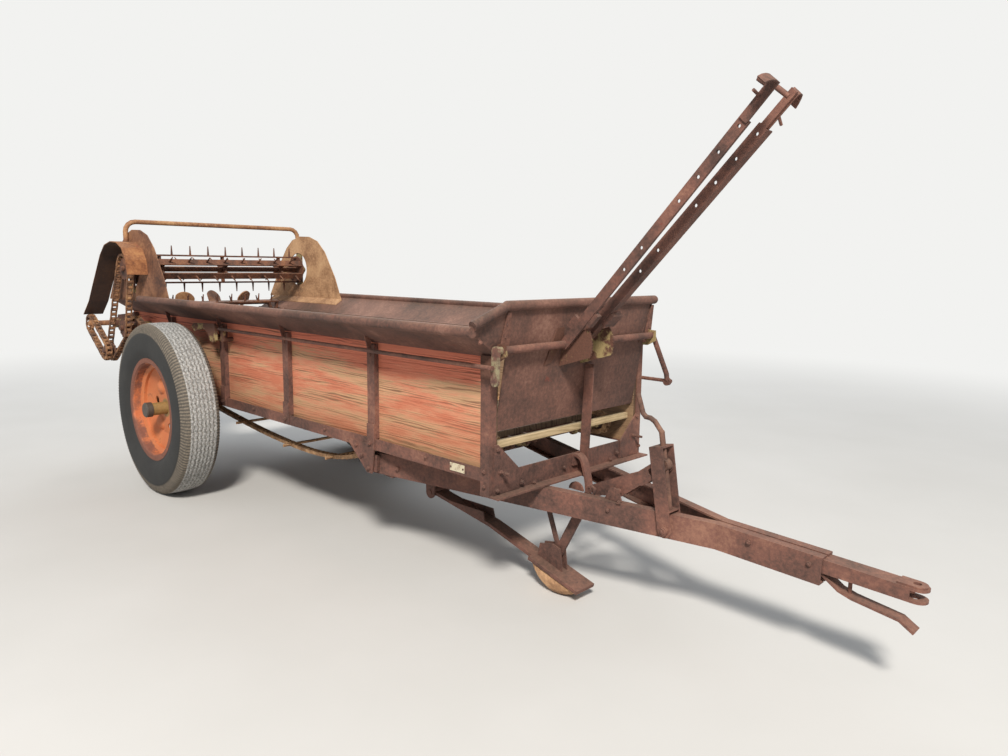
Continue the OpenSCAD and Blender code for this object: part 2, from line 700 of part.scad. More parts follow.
// Drum of bars on spiders with tines: half length, bars, their radius and width, tip radius,
// tines a bar
module drum(x, z, half, bars, bar_r, bar_w, tip_r, tines) {
    pitch = 2 * (half - 20) / tines;
    translate([x, 0, z]) {
        for (y = [-drum_y, -6, drum_y - 12]) side_plate(y, 12) {
            circle(r = 44);
            for (k = [0 : bars - 1]) rotate(k * 360 / bars + 30)
                translate([0, -14]) square([bar_r + 4, 28]);
        }
        for (k = [0 : bars - 1]) rotate([0, -k * 360 / bars - 30, 0]) {
            translate([bar_r - 5, -half, -bar_w / 2]) cube([10, 2 * half, bar_w]);
            for (j = [0 : tines - 1])
                translate([bar_r, -half + 20 + pitch * (j + (k % 2 == 0 ? 0.3 : 0.7)), 0])
                    rotate([0, 90, 0]) cylinder(h = tip_r - bar_r, r1 = 7, r2 = 3, $fn = 16);
        }
    }
}
module upper_beater() color("#7a4632") {
    drum(upper_x, upper_z, upper_half, 6, upper_bar_r, 40, upper_tip_r, 9);
    for (y = [-upper_half, upper_half - 8]) side_plate(y, 8)
        translate([upper_x, upper_z]) circle(r = end_disc_r);
    along_y(upper_x, upper_z, shaft_r, -chain_b_y - 22, arch_y + 40);
    sprocket(upper_x, upper_z, BEATER_LOOP[0][2], -chain_b_y, 12, shaft_r - 1);
}
module main_beater() color("#7a4632") {
    drum(main_x, main_z, drum_y, 8, main_bar_r, 36, main_tip_r, 8);
    along_y(main_x, main_z, shaft_r, -chain_b_y - 22, 530);
    sprocket(main_x, main_z, AXLE_LOOP[1][2], -chain_a_y, 9, shaft_r - 1);
    sprocket(main_x, main_z, BEATER_LOOP[2][2], -chain_b_y, 10, shaft_r - 1);
}
// Distributor blade with a rounded outer end, which points to x = 0
module paddle() {
    linear_extrude(8) intersection() {
        translate([0, -62]) square([98, 124]);
        translate([67, 0]) circle(r = 67.5);
    }
}
module distributor() color("#7a5038") {
    translate([dist_x, 0, dist_z]) for (j = [0 : 5]) {
        y = -360 + j * 144;
        side_plate(y - 16, 32) circle(r = 32);
        for (k = [0, 1]) rotate([0, j * 60 + k * 180, 0]) {
            translate([-dist_tip_r + 95, y - 10, -6]) cube([dist_tip_r - 95 - 28, 20, 12]);
            translate([-dist_tip_r, y, 0])
                rotate([j < 3 ? 24 : -24, 0, 0]) translate([0, 0, -4]) paddle();
        }
    }
    along_y(dist_x, dist_z, shaft_r, -chain_c_y - 18, 520);
    sprocket(dist_x, dist_z, DIST_LOOP[1][2], -chain_c_y, 8, shaft_r - 1);
}

// The tongue's own sloping frame, origin at its rear end
module tongue_frame() {
    translate([tongue_x, 0, tongue_z]) rotate([0, tongue_slope, 0]) children();
}
tongue_run = tongue_bend - tongue_x;
tongue_drop = tongue_rear_y - tongue_y;
tongue_turn = atan2(tongue_drop, tongue_run);
// Frame along the outer face of the right channel's slanting part
module channel_frame() {
    tongue_frame() translate([0, -tongue_rear_y, 0]) rotate([0, 0, tongue_turn]) children();
}
// Plan of a strip of width w along the right channel's outer face
module channel_plan(w) {
    run = tongue_run / cos(tongue_slope);
    full = (tongue_end - tongue_x) / cos(tongue_slope);
    turn = atan2(tongue_drop, run);
    bend = run + w * (1 - 1 / cos(turn)) / tan(turn);
    polygon([[0, -tongue_rear_y], [run, -tongue_y], [full, -tongue_y], [full, -tongue_y + w],
        [bend, -tongue_y + w], [0, -tongue_rear_y + w / cos(turn)]]);
}
module tongue(s) color("#6f4434") on_side(s) tongue_frame() {
    linear_extrude(tongue_h) channel_plan(tongue_t);
    linear_extrude(tongue_t) channel_plan(tongue_f);
    translate([0, 0, tongue_h - tongue_t]) linear_extrude(tongue_t) channel_plan(tongue_f);
}
// Outer half width of the tongue at x
function tongue_at(x) = x > tongue_bend ? tongue_y
    : tongue_y + tongue_drop * (tongue_bend - x) / tongue_run;
function tongue_low(x) = tongue_z - (x - tongue_x) * tan(tongue_slope);
function tongue_top(x) = tongue_low(x) + tongue_h / cos(tongue_slope);
brace_x = 2374;
module tongue_plates() color("#7a4632") {
    // Spacers between the gussets and the rear ends of the channels
    for (s = [-1, 1]) on_side(s) channel_frame()
        translate([4, -22.4, 12]) cube([32, 22.4 - seat, 70]);
    // Flat brace inside the channels
    w = tongue_at(brace_x) - tongue_t - 6;
    tongue_frame() translate([(brace_x - 15 - tongue_x), -w, tongue_t + seat])
        cube([30, 2 * w, 6]);
    // Curved strap from the front cross angle down to the brace
    strap = [[front_x + 4 + seat, 470], [front_x + 4 + seat, 509], [2341, 500], [2364, 440],
             [2378, 392], [brace_x, tongue_low(brace_x) + tongue_t + 10]];
    side_plate(-4, 30) strip(strap, 8);
    // Ear on the near channel with the pin that carries the bell crank
    side_plate(-tongue_at(crank_x) + 12, 8)
        polygon([[crank_x - 40, tongue_top(crank_x - 40) + seat],
            [crank_x + 34, tongue_top(crank_x - 40) + seat], [crank_x + 18, crank_z + 14],
            [crank_x, crank_z + 20], [crank_x - 18, crank_z + 14]]);
    along_y(crank_x, crank_z, crank_pin_r, -tongue_at(crank_x) + 13, jack_y + 30);
}

module hitch_head() color("#6f4434") {
    w = head_w / 2;
    low = tongue_h - tongue_t - seat - head_h;
    pin = (hitch_pin_x - tongue_x - (low + head_h / 2) * sin(tongue_slope)) / cos(tongue_slope);
    nose = (hitch_x - w - tongue_x - (low + head_h) * sin(tongue_slope)) / cos(tongue_slope);
    back = (tongue_end - 190 - tongue_x) / cos(tongue_slope);
    difference() {
        tongue_frame() translate([0, 0, low]) {
            for (z = [0, head_h - head_t]) translate([0, 0, z]) {
                translate([back, -w, 0]) cube([nose - back, head_w, head_t]);
                translate([nose, 0, 0]) cylinder(h = head_t, r = w);
            }
            for (y = [-w, w - head_t]) translate([back, y, 0])
                cube([nose - back - 12, head_t, head_h]);
            translate([back, -w, 0]) cube([head_t, head_w, head_h]);
            // Wear plate on the nose
            translate([nose - 50, -w + 5, head_h]) cube([50, head_w - 10, 6]);
            translate([nose, 0, head_h]) cylinder(h = 6, r = w - 5);
        }
        tongue_frame() translate([pin, 0, low - 5]) cylinder(h = head_h + 20, r = hitch_bore_r);
    }
    // Guide strap under the head
    z0 = tongue_z + low - seat - 4;
    strap = [[3200, z0 - (3200 - tongue_x) * tan(tongue_slope)],
             [3305, z0 - (3305 - tongue_x) * tan(tongue_slope)],
             [3362, 284], [3402, 271], [3538, 249], [3580, 222]];
    side_plate(-25, 50) strip(strap, 8);
    translate([3389, 0, 275]) cylinder(h = tongue_low(3396) + low - seat - 275, r = 6);
}

// Frame of the leaning jack, origin at its foot on the near channel
module jack_frame() {
    translate([jack_x, jack_y, jack_z]) rotate([0, -jack_lean, 0]) children();
}
jack_w = 77;
screw_off = 8;
saddle_up = 62.4;
module jack_bracket() color("#6f4434") {
    difference() {
        jack_frame() {
            translate([-26, -jack_w / 2, 0]) cube([52, 6, jack_h]);
            translate([0, -jack_w / 2 + 6, 0]) rotate([90, 0, 0]) cylinder(h = 6, r = 26);
            translate([-26, jack_w / 2 - 6, 34]) cube([52, 6, jack_h - 34]);
            translate([-26, -jack_w / 2, jack_h - 6]) cube([52, jack_w, 6]);
            translate([-26, -jack_w / 2, saddle_up]) cube([52, jack_w, 6]);
        }
        jack_frame() translate([screw_off, 0, jack_h - 10]) cylinder(h = 20, r = screw_r + running);
    }
    // Foot bolt with its spacer against the channel
    along_y(jack_x, jack_z, 17, jack_y - jack_w / 2 - 10, jack_y - jack_w / 2);
    along_y(jack_x, jack_z, 15, jack_y - jack_w / 2 + 5, -tongue_at(jack_x - 15) - seat - 1);
}
module jack_screw() color("#5a4034") {
    jack_frame() translate([screw_off, 0, saddle_up + 6 + seat])
        cylinder(h = 340 - saddle_up - 6, r = screw_r);
    top = [jack_x + screw_off * cos(jack_lean) - 340 * sin(jack_lean), jack_y,
           jack_z + screw_off * sin(jack_lean) + 340 * cos(jack_lean)];
    translate(top) sphere(r = screw_r + 0.4);
    bent_rod([top, [2722, jack_y, 722], [2704, jack_y, 731], [2684, jack_y, 733],
              [2672, jack_y, 744], [2648, jack_y, 812]], screw_r - 1);
}
module jack_nut() color("#5a4034") {
    difference() {
        jack_frame() translate([screw_off, 0, nut_up]) rotate([90, 0, 0]) {
            translate([0, 0, -15.5]) cylinder(h = 31, r = nut_r);
            translate([0, 0, -27]) cylinder(h = 54, r = 8);
        }
        jack_frame() translate([screw_off, 0, nut_up - 40]) cylinder(h = 80, r = screw_r + running);
    }
}

crank_pin_r = 12;
nut_x = jack_x + screw_off * cos(jack_lean) - nut_up * sin(jack_lean);
nut_z = jack_z + screw_off * sin(jack_lean) + nut_up * cos(jack_lean);
module bell_crank() color("#7a4632") {
    p = [crank_x, crank_z];
    n = [nut_x, nut_z] - p;
    u = n / norm(n);
    for (y = [jack_y - 25.5, jack_y + 20.5]) side_plate(y, 5) difference() {
        union() {
            bar2(p, link_top, 40);
            bar2(p, p + u * (norm(n) - 10), 40);
            bar2(p + u * 110, p + u * (norm(n) - 10), 50);
            polygon([link_top + [-6, 19], link_top, p, p + u * 120, p + u * 110 + [-15, 20],
                [crank_x - 12, crank_z + 50]]);
        }
        translate(p) circle(r = crank_pin_r + running);
        bar2(p + u * (norm(n) - 50), p + u * (norm(n) + 40), 25);
    }
    difference() {
        along_y(crank_x, crank_z, 20, jack_y - 25.5, jack_y + 25.5);
        along_y(crank_x, crank_z, crank_pin_r + running, jack_y - 30, jack_y + 30);
    }
    along_y(link_top[0], link_top[1], 8, stand_y + 9, jack_y + 25);
}
drift_gap = 4;
// Link from the leg up to the bell crank, with a second short arm
module stand_link() color("#7a4632") {
    side_plate(stand_y + 9, 10) difference() {
        union() {
            bar2([link_x, link_z], link_top, 38);
            bar2([link_x, link_z], [link_x - 55, link_z + 148], 18);
        }
        translate([link_x, link_z]) circle(r = 8 + running);
        translate(link_top) circle(r = 8 + drift_gap);
    }
}
module stand_bracket() color("#7a4632") {
    top = tongue_low(leg_x) - 5;
    for (y = [stand_y - leg_w / 2 - 14, stand_y + leg_w / 2 + 6]) side_plate(y, 8) difference() {
        union() {
            translate([leg_x, leg_z]) circle(r = 27);
            translate([leg_x - 27, leg_z]) square([54, top - leg_z]);
        }
        translate([leg_x, leg_z]) circle(r = 12 + running);
    }
    w = tongue_at(leg_x + 30) - 2;
    tongue_frame() translate([leg_x - tongue_x - 30, -w, -8 - seat]) cube([60, 2 * w, 8]);
}
// Frame of the leg's front part, x along it from the knee
module toe_frame() {
    translate([knee_x, stand_y, knee_z]) rotate([0, toe_angle, 0]) children();
}
module stand_leg() color("#7a4632") {
    side_plate(stand_y - leg_w / 2, leg_w) {
        bar2([leg_x, leg_z], [knee_x, knee_z], leg_t);
        bar2([knee_x, knee_z], [toe_x - 40, knee_z - (toe_x - 40 - knee_x) * tan(toe_angle)], leg_t);
        translate([leg_x, leg_z]) circle(r = 20);
    }
    along_y(leg_x, leg_z, 12, stand_y - leg_w / 2 - 18, stand_y + leg_w / 2 + 18);
    toe_l = norm([toe_x - knee_x, knee_z - toe_z]);
    toe_frame() translate([toe_l - 256, -shoe_w / 2, -leg_t / 2]) cube([256, shoe_w, leg_t]);
    // Upright webs behind the knee
    for (y = [stand_y - leg_w / 2, stand_y + leg_w / 2 - 6]) side_plate(y, 6) polygon([
        [1765, leg_z - 15], [1962, leg_z - 15], [1975, leg_z - 56], [1765, leg_z - 24]]);
    // Ears and pin for the link
    for (y = [stand_y - 8, stand_y + 22]) side_plate(y, 6) polygon([
        [2250, 112], [2262, 170], [2330, 184], [2366, 172], [2378, 80]]);
    along_y(link_x, link_z, 8, stand_y - 8, stand_y + 28);
}
// Section of the dished shoe as [radius, across], t inwards
function shoe_section(t) = let (h = shoe_w / 2 - t, r = shoe_r - t) [
    [60 - t, -h], [r - 46, -h], [r - 22, -h + 6], [r - 8, -h + 18], [r, -h + 36],
    [r, h - 36], [r - 8, h - 18], [r - 22, h - 6], [r - 46, h], [60 - t, h]];
shoe_x = 2375;
module shoe_solid(t) {
    translate([shoe_x, stand_y, shoe_r]) rotate([90, 0, 0]) rotate_extrude($fn = 96)
        polygon(shoe_section(t));
}
module under_leg(gap) {
    toe_frame() translate([0, -100, -leg_t / 2 - gap - 200]) cube([700, 200, 200]);
}
module stand_shoe() color("#8a5a3c") {
    intersection() {
        difference() {
            shoe_solid(0);
            shoe_solid(6);
        }
        under_leg(5);
    }
    intersection() {
        shoe_solid(3);
        under_leg(seat);
        toe_frame() for (x = [300, 420]) translate([x, -50, -160]) cube([10, 100, 200]);
    }
}

// Hand lever of channel section turning on the torque rod, depth across the flange
module lever(y, a, depth, quadrant_y) {
    translate([torque_x, y, torque_z]) rotate([0, -a, 0]) {
        difference() {
            union() {
                translate([0, 6, 0]) rotate([90, 0, 0]) cylinder(h = 6, r = lever_w / 2);
                translate([0, 0, -lever_w / 2]) cube([lever_l - 130, 6, lever_w]);
                translate([lever_l - 300, 0, -12]) cube([300, 10, 24]);
            }
            for (x = [380, 480, 680, 776, 871, 966]) translate([x, -1, 0]) rotate([-90, 0, 0])
                cylinder(h = 12, r = 6);
        }
        translate([20, 0, -lever_w / 2]) cube([lever_l - 150, depth, 5]);
        translate([20, 0, lever_w / 2 - 4]) cube([lever_l - 150, min(depth, 16), 4]);
        // Pawl out over the quadrant's teeth
        translate([quadrant_r + 12, 3, -lever_w / 2 - 17]) cube([58, quadrant_y + 3 - y, 24]);
        rod([lever_l - 24, 5, 0], [lever_l - 28, 5, 50], 9);
    }
    along_y(torque_x, torque_z, torque_r, y, quadrant_y + 20);
}
module lever_right() color("#7a4632") {
    lever(lever_right_y, right_angle, 12, quadrant_right_y);
    along_y(torque_x, torque_z, torque_r, -frame_y - 36, lever_right_y + 1);
    side_plate(-frame_y - 36, 12) difference() {
        bar2([torque_x, torque_z], [right_pin[0] + 4, torque_z - 106], 32);
        translate(right_pin) circle(r = 6 + running);
    }
    // Stop block on the upper edge
    translate([torque_x, lever_right_y, torque_z]) rotate([0, -right_angle, 0])
        translate([62, 0, lever_w / 2 - 2]) cube([54, 14, 24]);
}
module lever_left() color("#7a4632") {
    lever(lever_left_y, left_angle, 38, quadrant_left_y);
    along_y(torque_x, torque_z, torque_r, lever_left_y, 454);
    difference() {
        union() {
            bent_rod([[torque_x, 440, torque_z], [torque_x, 457, torque_z],
                      [left_pin[0] - 3, frame_y + 40, left_pin[1] + 34],
                      [left_pin[0], frame_y + 44, left_pin[1]]], 11);
            along_y(left_pin[0], left_pin[1], 17, frame_y + 36, frame_y + 52);
        }
        along_y(left_pin[0], left_pin[1], 6 + running, frame_y + 20, frame_y + 70);
    }
}
// Control rods with a pin in each end
module rod_right() color("#7a4632") {
    y = -frame_y - 48;
    rod([right_pin[0] + 8, y, right_pin[1]], [clutch_x - 8, y, right_pin[1]], rod_r);
    for (x = [right_pin[0], clutch_x]) along_y(x, right_pin[1], 6, y - rod_r, -frame_y - 24);
}
module rod_left() color("#7a4632") {
    y = frame_y + 65;
    rod([left_pin[0] + 8, y, left_pin[1]], [feed_x - 8, y, left_pin[1]], rod_r);
    for (x = [left_pin[0], feed_x]) along_y(x, left_pin[1], 6, frame_y + 36, y + rod_r);
}
// Holes for the pins at the rear ends of the rods
eye_r = 10.5;
clutch_x = 350;
module clutch_arm() color("#b08838") {
    side_plate(-frame_y - 36, 12) difference() {
        bar2([clutch_x, right_pin[1] - right_drop], [clutch_x, right_pin[1]], 32);
        translate([clutch_x, right_pin[1]]) circle(r = eye_r);
    }
    along_y(clutch_x, right_pin[1] - right_drop, 12, -frame_y - 36, -board_y - seat);
}
feed_x = -262;
feed_top = 920;
module feed_arm() color("#7a4632") {
    side_plate(frame_y + 40, 12) difference() {
        bar2([feed_x - 48, feed_top], [feed_x, left_pin[1]], 32);
        translate([feed_x, left_pin[1]]) circle(r = eye_r);
    }
    along_y(feed_x - 48, feed_top, 10, board_y + seat, frame_y + 52);
}

quadrant_right_y = -122;
quadrant_left_y = 7;
module quadrant(y) {
    side_plate(y, 6) difference() {
        union() {
            polygon(concat([[panel_x(880) + seat, 880], [panel_x(1000) + seat, 1000]],
                [for (a = [34 : -8 : -22]) [torque_x, torque_z] + polar(quadrant_r, a)]));
            // Ratchet teeth
            for (a = [-18 : 5 : 30]) translate([torque_x, torque_z]) rotate(a)
                polygon([[quadrant_r - 4, -4], [quadrant_r + 4, 3], [quadrant_r - 4, 5]]);
        }
        translate([torque_x, torque_z]) circle(r = torque_r + running);
    }
    // Boss round the torque rod
    difference() {
        along_y(torque_x, torque_z, 22, y + 2, y + 14);
        along_y(torque_x, torque_z, torque_r + running, y, y + 20);
    }
    // Flange on the panel
    panel_frame() translate([seat, y, up_panel(884)]) cube([4, 26, 108]);
}
module control_brackets() color("#7a4632") {
    quadrant(quadrant_right_y);
    quadrant(quadrant_left_y);
    // Slanting strap on the panel
    panel_plate(seat, 4, [[-213, up_panel(891)], [-175, up_panel(900)], [-127, up_panel(990)],
        [-127, up_panel(1032)], [-167, up_panel(1030)]]);
    // Outer bearing of the right torque rod
    side_plate(-frame_y - 6, 6 - seat) difference() {
        polygon([[2256, 860], [2256, 944], [2332, 944], [2338, 990], [2378, 990], [2382, 950],
                 [2340, 925], [2304, 900], [2304, 860]]);
        translate([torque_x, torque_z]) circle(r = torque_r + running);
    }
    // Outer bearing of the left torque rod
    translate([0, 440, 0]) side_plate(0, 6) difference() {
        polygon([[front_x + seat, 925], [front_x + seat, 934], [2336, 992], [2378, 990], [2380, 946],
                 [2340, 925]]);
        translate([torque_x, torque_z]) circle(r = torque_r + running);
    }
}
module name_plate() color("#d8cca8") {
    translate([2092, -frame_y - 2.3, 497]) cube([78, 2, 30]);
}

module axle_chain() color("#6a4a34") chain_band(AXLE_LOOP, -chain_a_y);
module beater_chain() color("#6a4a34") chain_band(BEATER_LOOP, -chain_b_y);
module distributor_chain() color("#6a4a34") chain_band(DIST_LOOP, -chain_c_y);

module placed() { translate([-mid_x, 0, 0]) children(); }
placed() sills();
placed() floor_planks();  // floor
placed() front_strip();
placed() stakes(-1);  // stakes_right
placed() stakes(1);  // stakes_left
placed() boards(-1);  // boards_right
placed() boards(1);  // boards_left
placed() flare_right();
placed() flare_left();
placed() front_panel();
placed() front_frame();
placed() arch(-1);  // arch_right
placed() arch(1);  // arch_left
placed() hoop();
placed() chain_guard();
placed() distributor_arms();
placed() bearings();
placed() axle();
placed() axle_chain();
placed() beater_chain();
placed() distributor_chain();
placed() low_shaft();
placed() apron();
placed() apron_shafts();
placed() tyre(-1);  // tyre_right
placed() rim(-1);  // rim_right
placed() tyre(1);  // tyre_left
placed() rim(1);  // rim_left
placed() main_beater();
placed() upper_beater();
placed() distributor();
placed() tongue(-1);  // tongue_right
placed() tongue(1);  // tongue_left
placed() tongue_plates();
placed() hitch_head();
placed() jack_bracket();
placed() jack_screw();
placed() jack_nut();
placed() bell_crank();
placed() stand_link();
placed() stand_bracket();
placed() stand_leg();
placed() stand_shoe();
placed() lever_right();
placed() lever_left();
placed() rod_right();
placed() rod_left();
placed() clutch_arm();
placed() feed_arm();
placed() control_brackets();
placed() name_plate();
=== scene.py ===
"""Manure spreader with two wheels, parked on its own stand: looks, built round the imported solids."""
import math

import bpy
import numpy as np
from mathutils import Matrix, Vector


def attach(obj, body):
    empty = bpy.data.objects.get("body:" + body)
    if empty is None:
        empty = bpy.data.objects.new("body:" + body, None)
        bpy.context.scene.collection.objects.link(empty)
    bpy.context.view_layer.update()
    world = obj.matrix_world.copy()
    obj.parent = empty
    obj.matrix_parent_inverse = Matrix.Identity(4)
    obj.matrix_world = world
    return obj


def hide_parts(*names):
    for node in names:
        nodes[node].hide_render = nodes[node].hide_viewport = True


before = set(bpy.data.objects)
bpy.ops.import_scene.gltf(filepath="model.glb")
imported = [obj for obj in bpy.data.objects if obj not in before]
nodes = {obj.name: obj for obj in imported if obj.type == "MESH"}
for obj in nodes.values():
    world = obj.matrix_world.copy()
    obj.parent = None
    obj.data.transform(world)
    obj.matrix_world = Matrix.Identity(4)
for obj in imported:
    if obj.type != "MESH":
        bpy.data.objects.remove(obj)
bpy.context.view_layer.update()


# Where it stands: the camera, a pale yard floor and soft daylight.
# The camera stands in front of the right wheel's side, at chest height, turned back along the box.
# A large soft lamp stands for a high sun in front of the machine, and a pale sky fills the rest.
AXLE_BACK = 1098


def on_the_machine(points):
    """Metres from millimetres that count x from the axle, which is AXLE_BACK behind the row's origin."""
    return (np.asarray(points, float) - (AXLE_BACK, 0, 0)) / 1000


def look_matrix(place, yaw, pitch, roll):
    """Camera matrix: forward = (cos yaw cos pitch, sin yaw cos pitch, sin pitch), rolled about itself."""
    level_part = math.cos(pitch)
    forward = Vector((math.cos(yaw) * level_part, math.sin(yaw) * level_part, math.sin(pitch)))
    level = Vector((math.sin(yaw), -math.cos(yaw), 0))
    over = level.cross(forward)
    right = level * math.cos(roll) + over * math.sin(roll)
    over = right.cross(forward)
    turn = Matrix((right, over, -forward)).transposed().to_4x4()
    return Matrix.Translation(place) @ turn


camera = bpy.data.objects.new("yard_camera", bpy.data.cameras.new("yard_camera"))
camera.data.sensor_width = 36
camera.data.lens = 26.9
camera.matrix_world = look_matrix(Vector(on_the_machine((4135.1, -2310.9, 1256.2))),
                                  math.radians(133.9), math.radians(-8.5), math.radians(0.7))
bpy.context.scene.collection.objects.link(camera)
bpy.context.scene.camera = camera
bpy.context.scene.view_settings.view_transform = "Standard"


def lamp(name, place, aim, size, watts, tint):
    """Square area lamp at place that shines towards aim."""
    light = bpy.data.lights.new(name, "AREA")
    light.size = size
    light.energy = watts
    light.color = tint
    holder = bpy.data.objects.new(name, light)
    holder.location = place
    holder.rotation_euler = (Vector(aim) - Vector(place)).to_track_quat("-Z", "Y").to_euler()
    bpy.context.scene.collection.objects.link(holder)


lamp("sun_side_lamp", (7.8, -7.5, 9.9), (0, 0, 0.6), 2.2, 2750, (1.0, 0.96, 0.9))
lamp("sky_side_lamp", (-5.0, 4.0, 5.0), (0, 0, 0.7), 5.0, 260, (0.9, 0.95, 1.0))


def linear(code):
    """Linear colour of an sRGB hex code: c/12.92 below 0.04045, else ((c + 0.055) / 1.055) ^ 2.4."""
    parts = [int(code[i:i + 2], 16) / 255 for i in (1, 3, 5)]
    return tuple(c / 12.92 if c <= 0.04045 else ((c + 0.055) / 1.055) ** 2.4 for c in parts) + (1.0,)


def add(tree, kind, inputs=None, **settings):
    """Adds a node: settings are its attributes, inputs its socket values or the sockets that feed them."""
    piece = tree.nodes.new(kind)
    for name, value in settings.items():
        setattr(piece, name, value)
    for socket, value in (inputs or {}).items():
        if isinstance(value, bpy.types.NodeSocket):
            tree.links.new(value, piece.inputs[socket])
        else:
            piece.inputs[socket].default_value = value
    return piece


sky = bpy.data.worlds.new("pale_sky")
sky.use_nodes = True
sky.node_tree.nodes.clear()
path = add(sky.node_tree, "ShaderNodeLightPath")
seen = add(sky.node_tree, "ShaderNodeMath", {0: path.outputs["Is Camera Ray"],
                                             1: path.outputs["Is Glossy Ray"]}, operation="MAXIMUM")
fill = add(sky.node_tree, "ShaderNodeBackground", {"Color": linear("#e4ebf2"), "Strength": 0.5})
shown = add(sky.node_tree, "ShaderNodeBackground", {"Color": linear("#f2f2f0"), "Strength": 1.0})
both = add(sky.node_tree, "ShaderNodeMixShader", {0: seen.outputs[0], 1: fill.outputs[0],
                                                  2: shown.outputs[0]})
add(sky.node_tree, "ShaderNodeOutputWorld", {"Surface": both.outputs[0]})
bpy.context.scene.world = sky


def finish(name):
    """Empty material with its shader, both ready for a piece's own nodes."""
    made = bpy.data.materials.new(name)
    made.use_nodes = True
    return made, made.node_tree, made.node_tree.nodes["Principled BSDF"]


def new_piece(name, verts, faces, material, body="root", smooth=False):
    """Object from points (metres, row frame) and faces, which rides on a body."""
    mesh = bpy.data.meshes.new(name)
    mesh.from_pydata(np.asarray(verts).tolist(), [], [list(f) for f in faces])
    mesh.materials.append(material)
    if smooth:
        mesh.shade_smooth()
    mesh.update()
    piece = bpy.data.objects.new(name, mesh)
    bpy.context.scene.collection.objects.link(piece)
    if body:
        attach(piece, body)
    return piece


swept_yard, tree, shader = finish("swept_pale_concrete")
place = add(tree, "ShaderNodeTexCoord").outputs["Object"]
cloud = add(tree, "ShaderNodeTexNoise", {"Vector": place, "Scale": 1.4, "Detail": 6})
tone = add(tree, "ShaderNodeValToRGB", {"Fac": cloud.outputs["Fac"]})
tone.color_ramp.elements[0].color = linear("#bdbbb7")
tone.color_ramp.elements[1].color = linear("#c8c6c3")
tree.links.new(tone.outputs[0], shader.inputs["Base Color"])
shader.inputs["Roughness"].default_value = 0.9
far = add(tree, "ShaderNodeVectorMath", {0: place}, operation="LENGTH").outputs["Value"]
far = add(tree, "ShaderNodeMapRange", {"Value": far, "From Min": 3.0, "From Max": 9.0},
          interpolation_type="SMOOTHSTEP")
path = add(tree, "ShaderNodeLightPath")
far = add(tree, "ShaderNodeMath", {0: far.outputs[0], 1: path.outputs["Is Camera Ray"]},
          operation="MULTIPLY")
haze = add(tree, "ShaderNodeEmission", {"Color": linear("#f2f2f0")})
ends = add(tree, "ShaderNodeMixShader", {0: far.outputs[0], 1: shader.outputs[0], 2: haze.outputs[0]})
tree.links.new(ends.outputs[0], tree.nodes["Material Output"].inputs["Surface"])
yard = new_piece("yard_floor", [(-40, -40, 0), (40, -40, 0), (40, 40, 0), (-40, 40, 0)],
                 [(0, 1, 2, 3)], swept_yard, body=None)


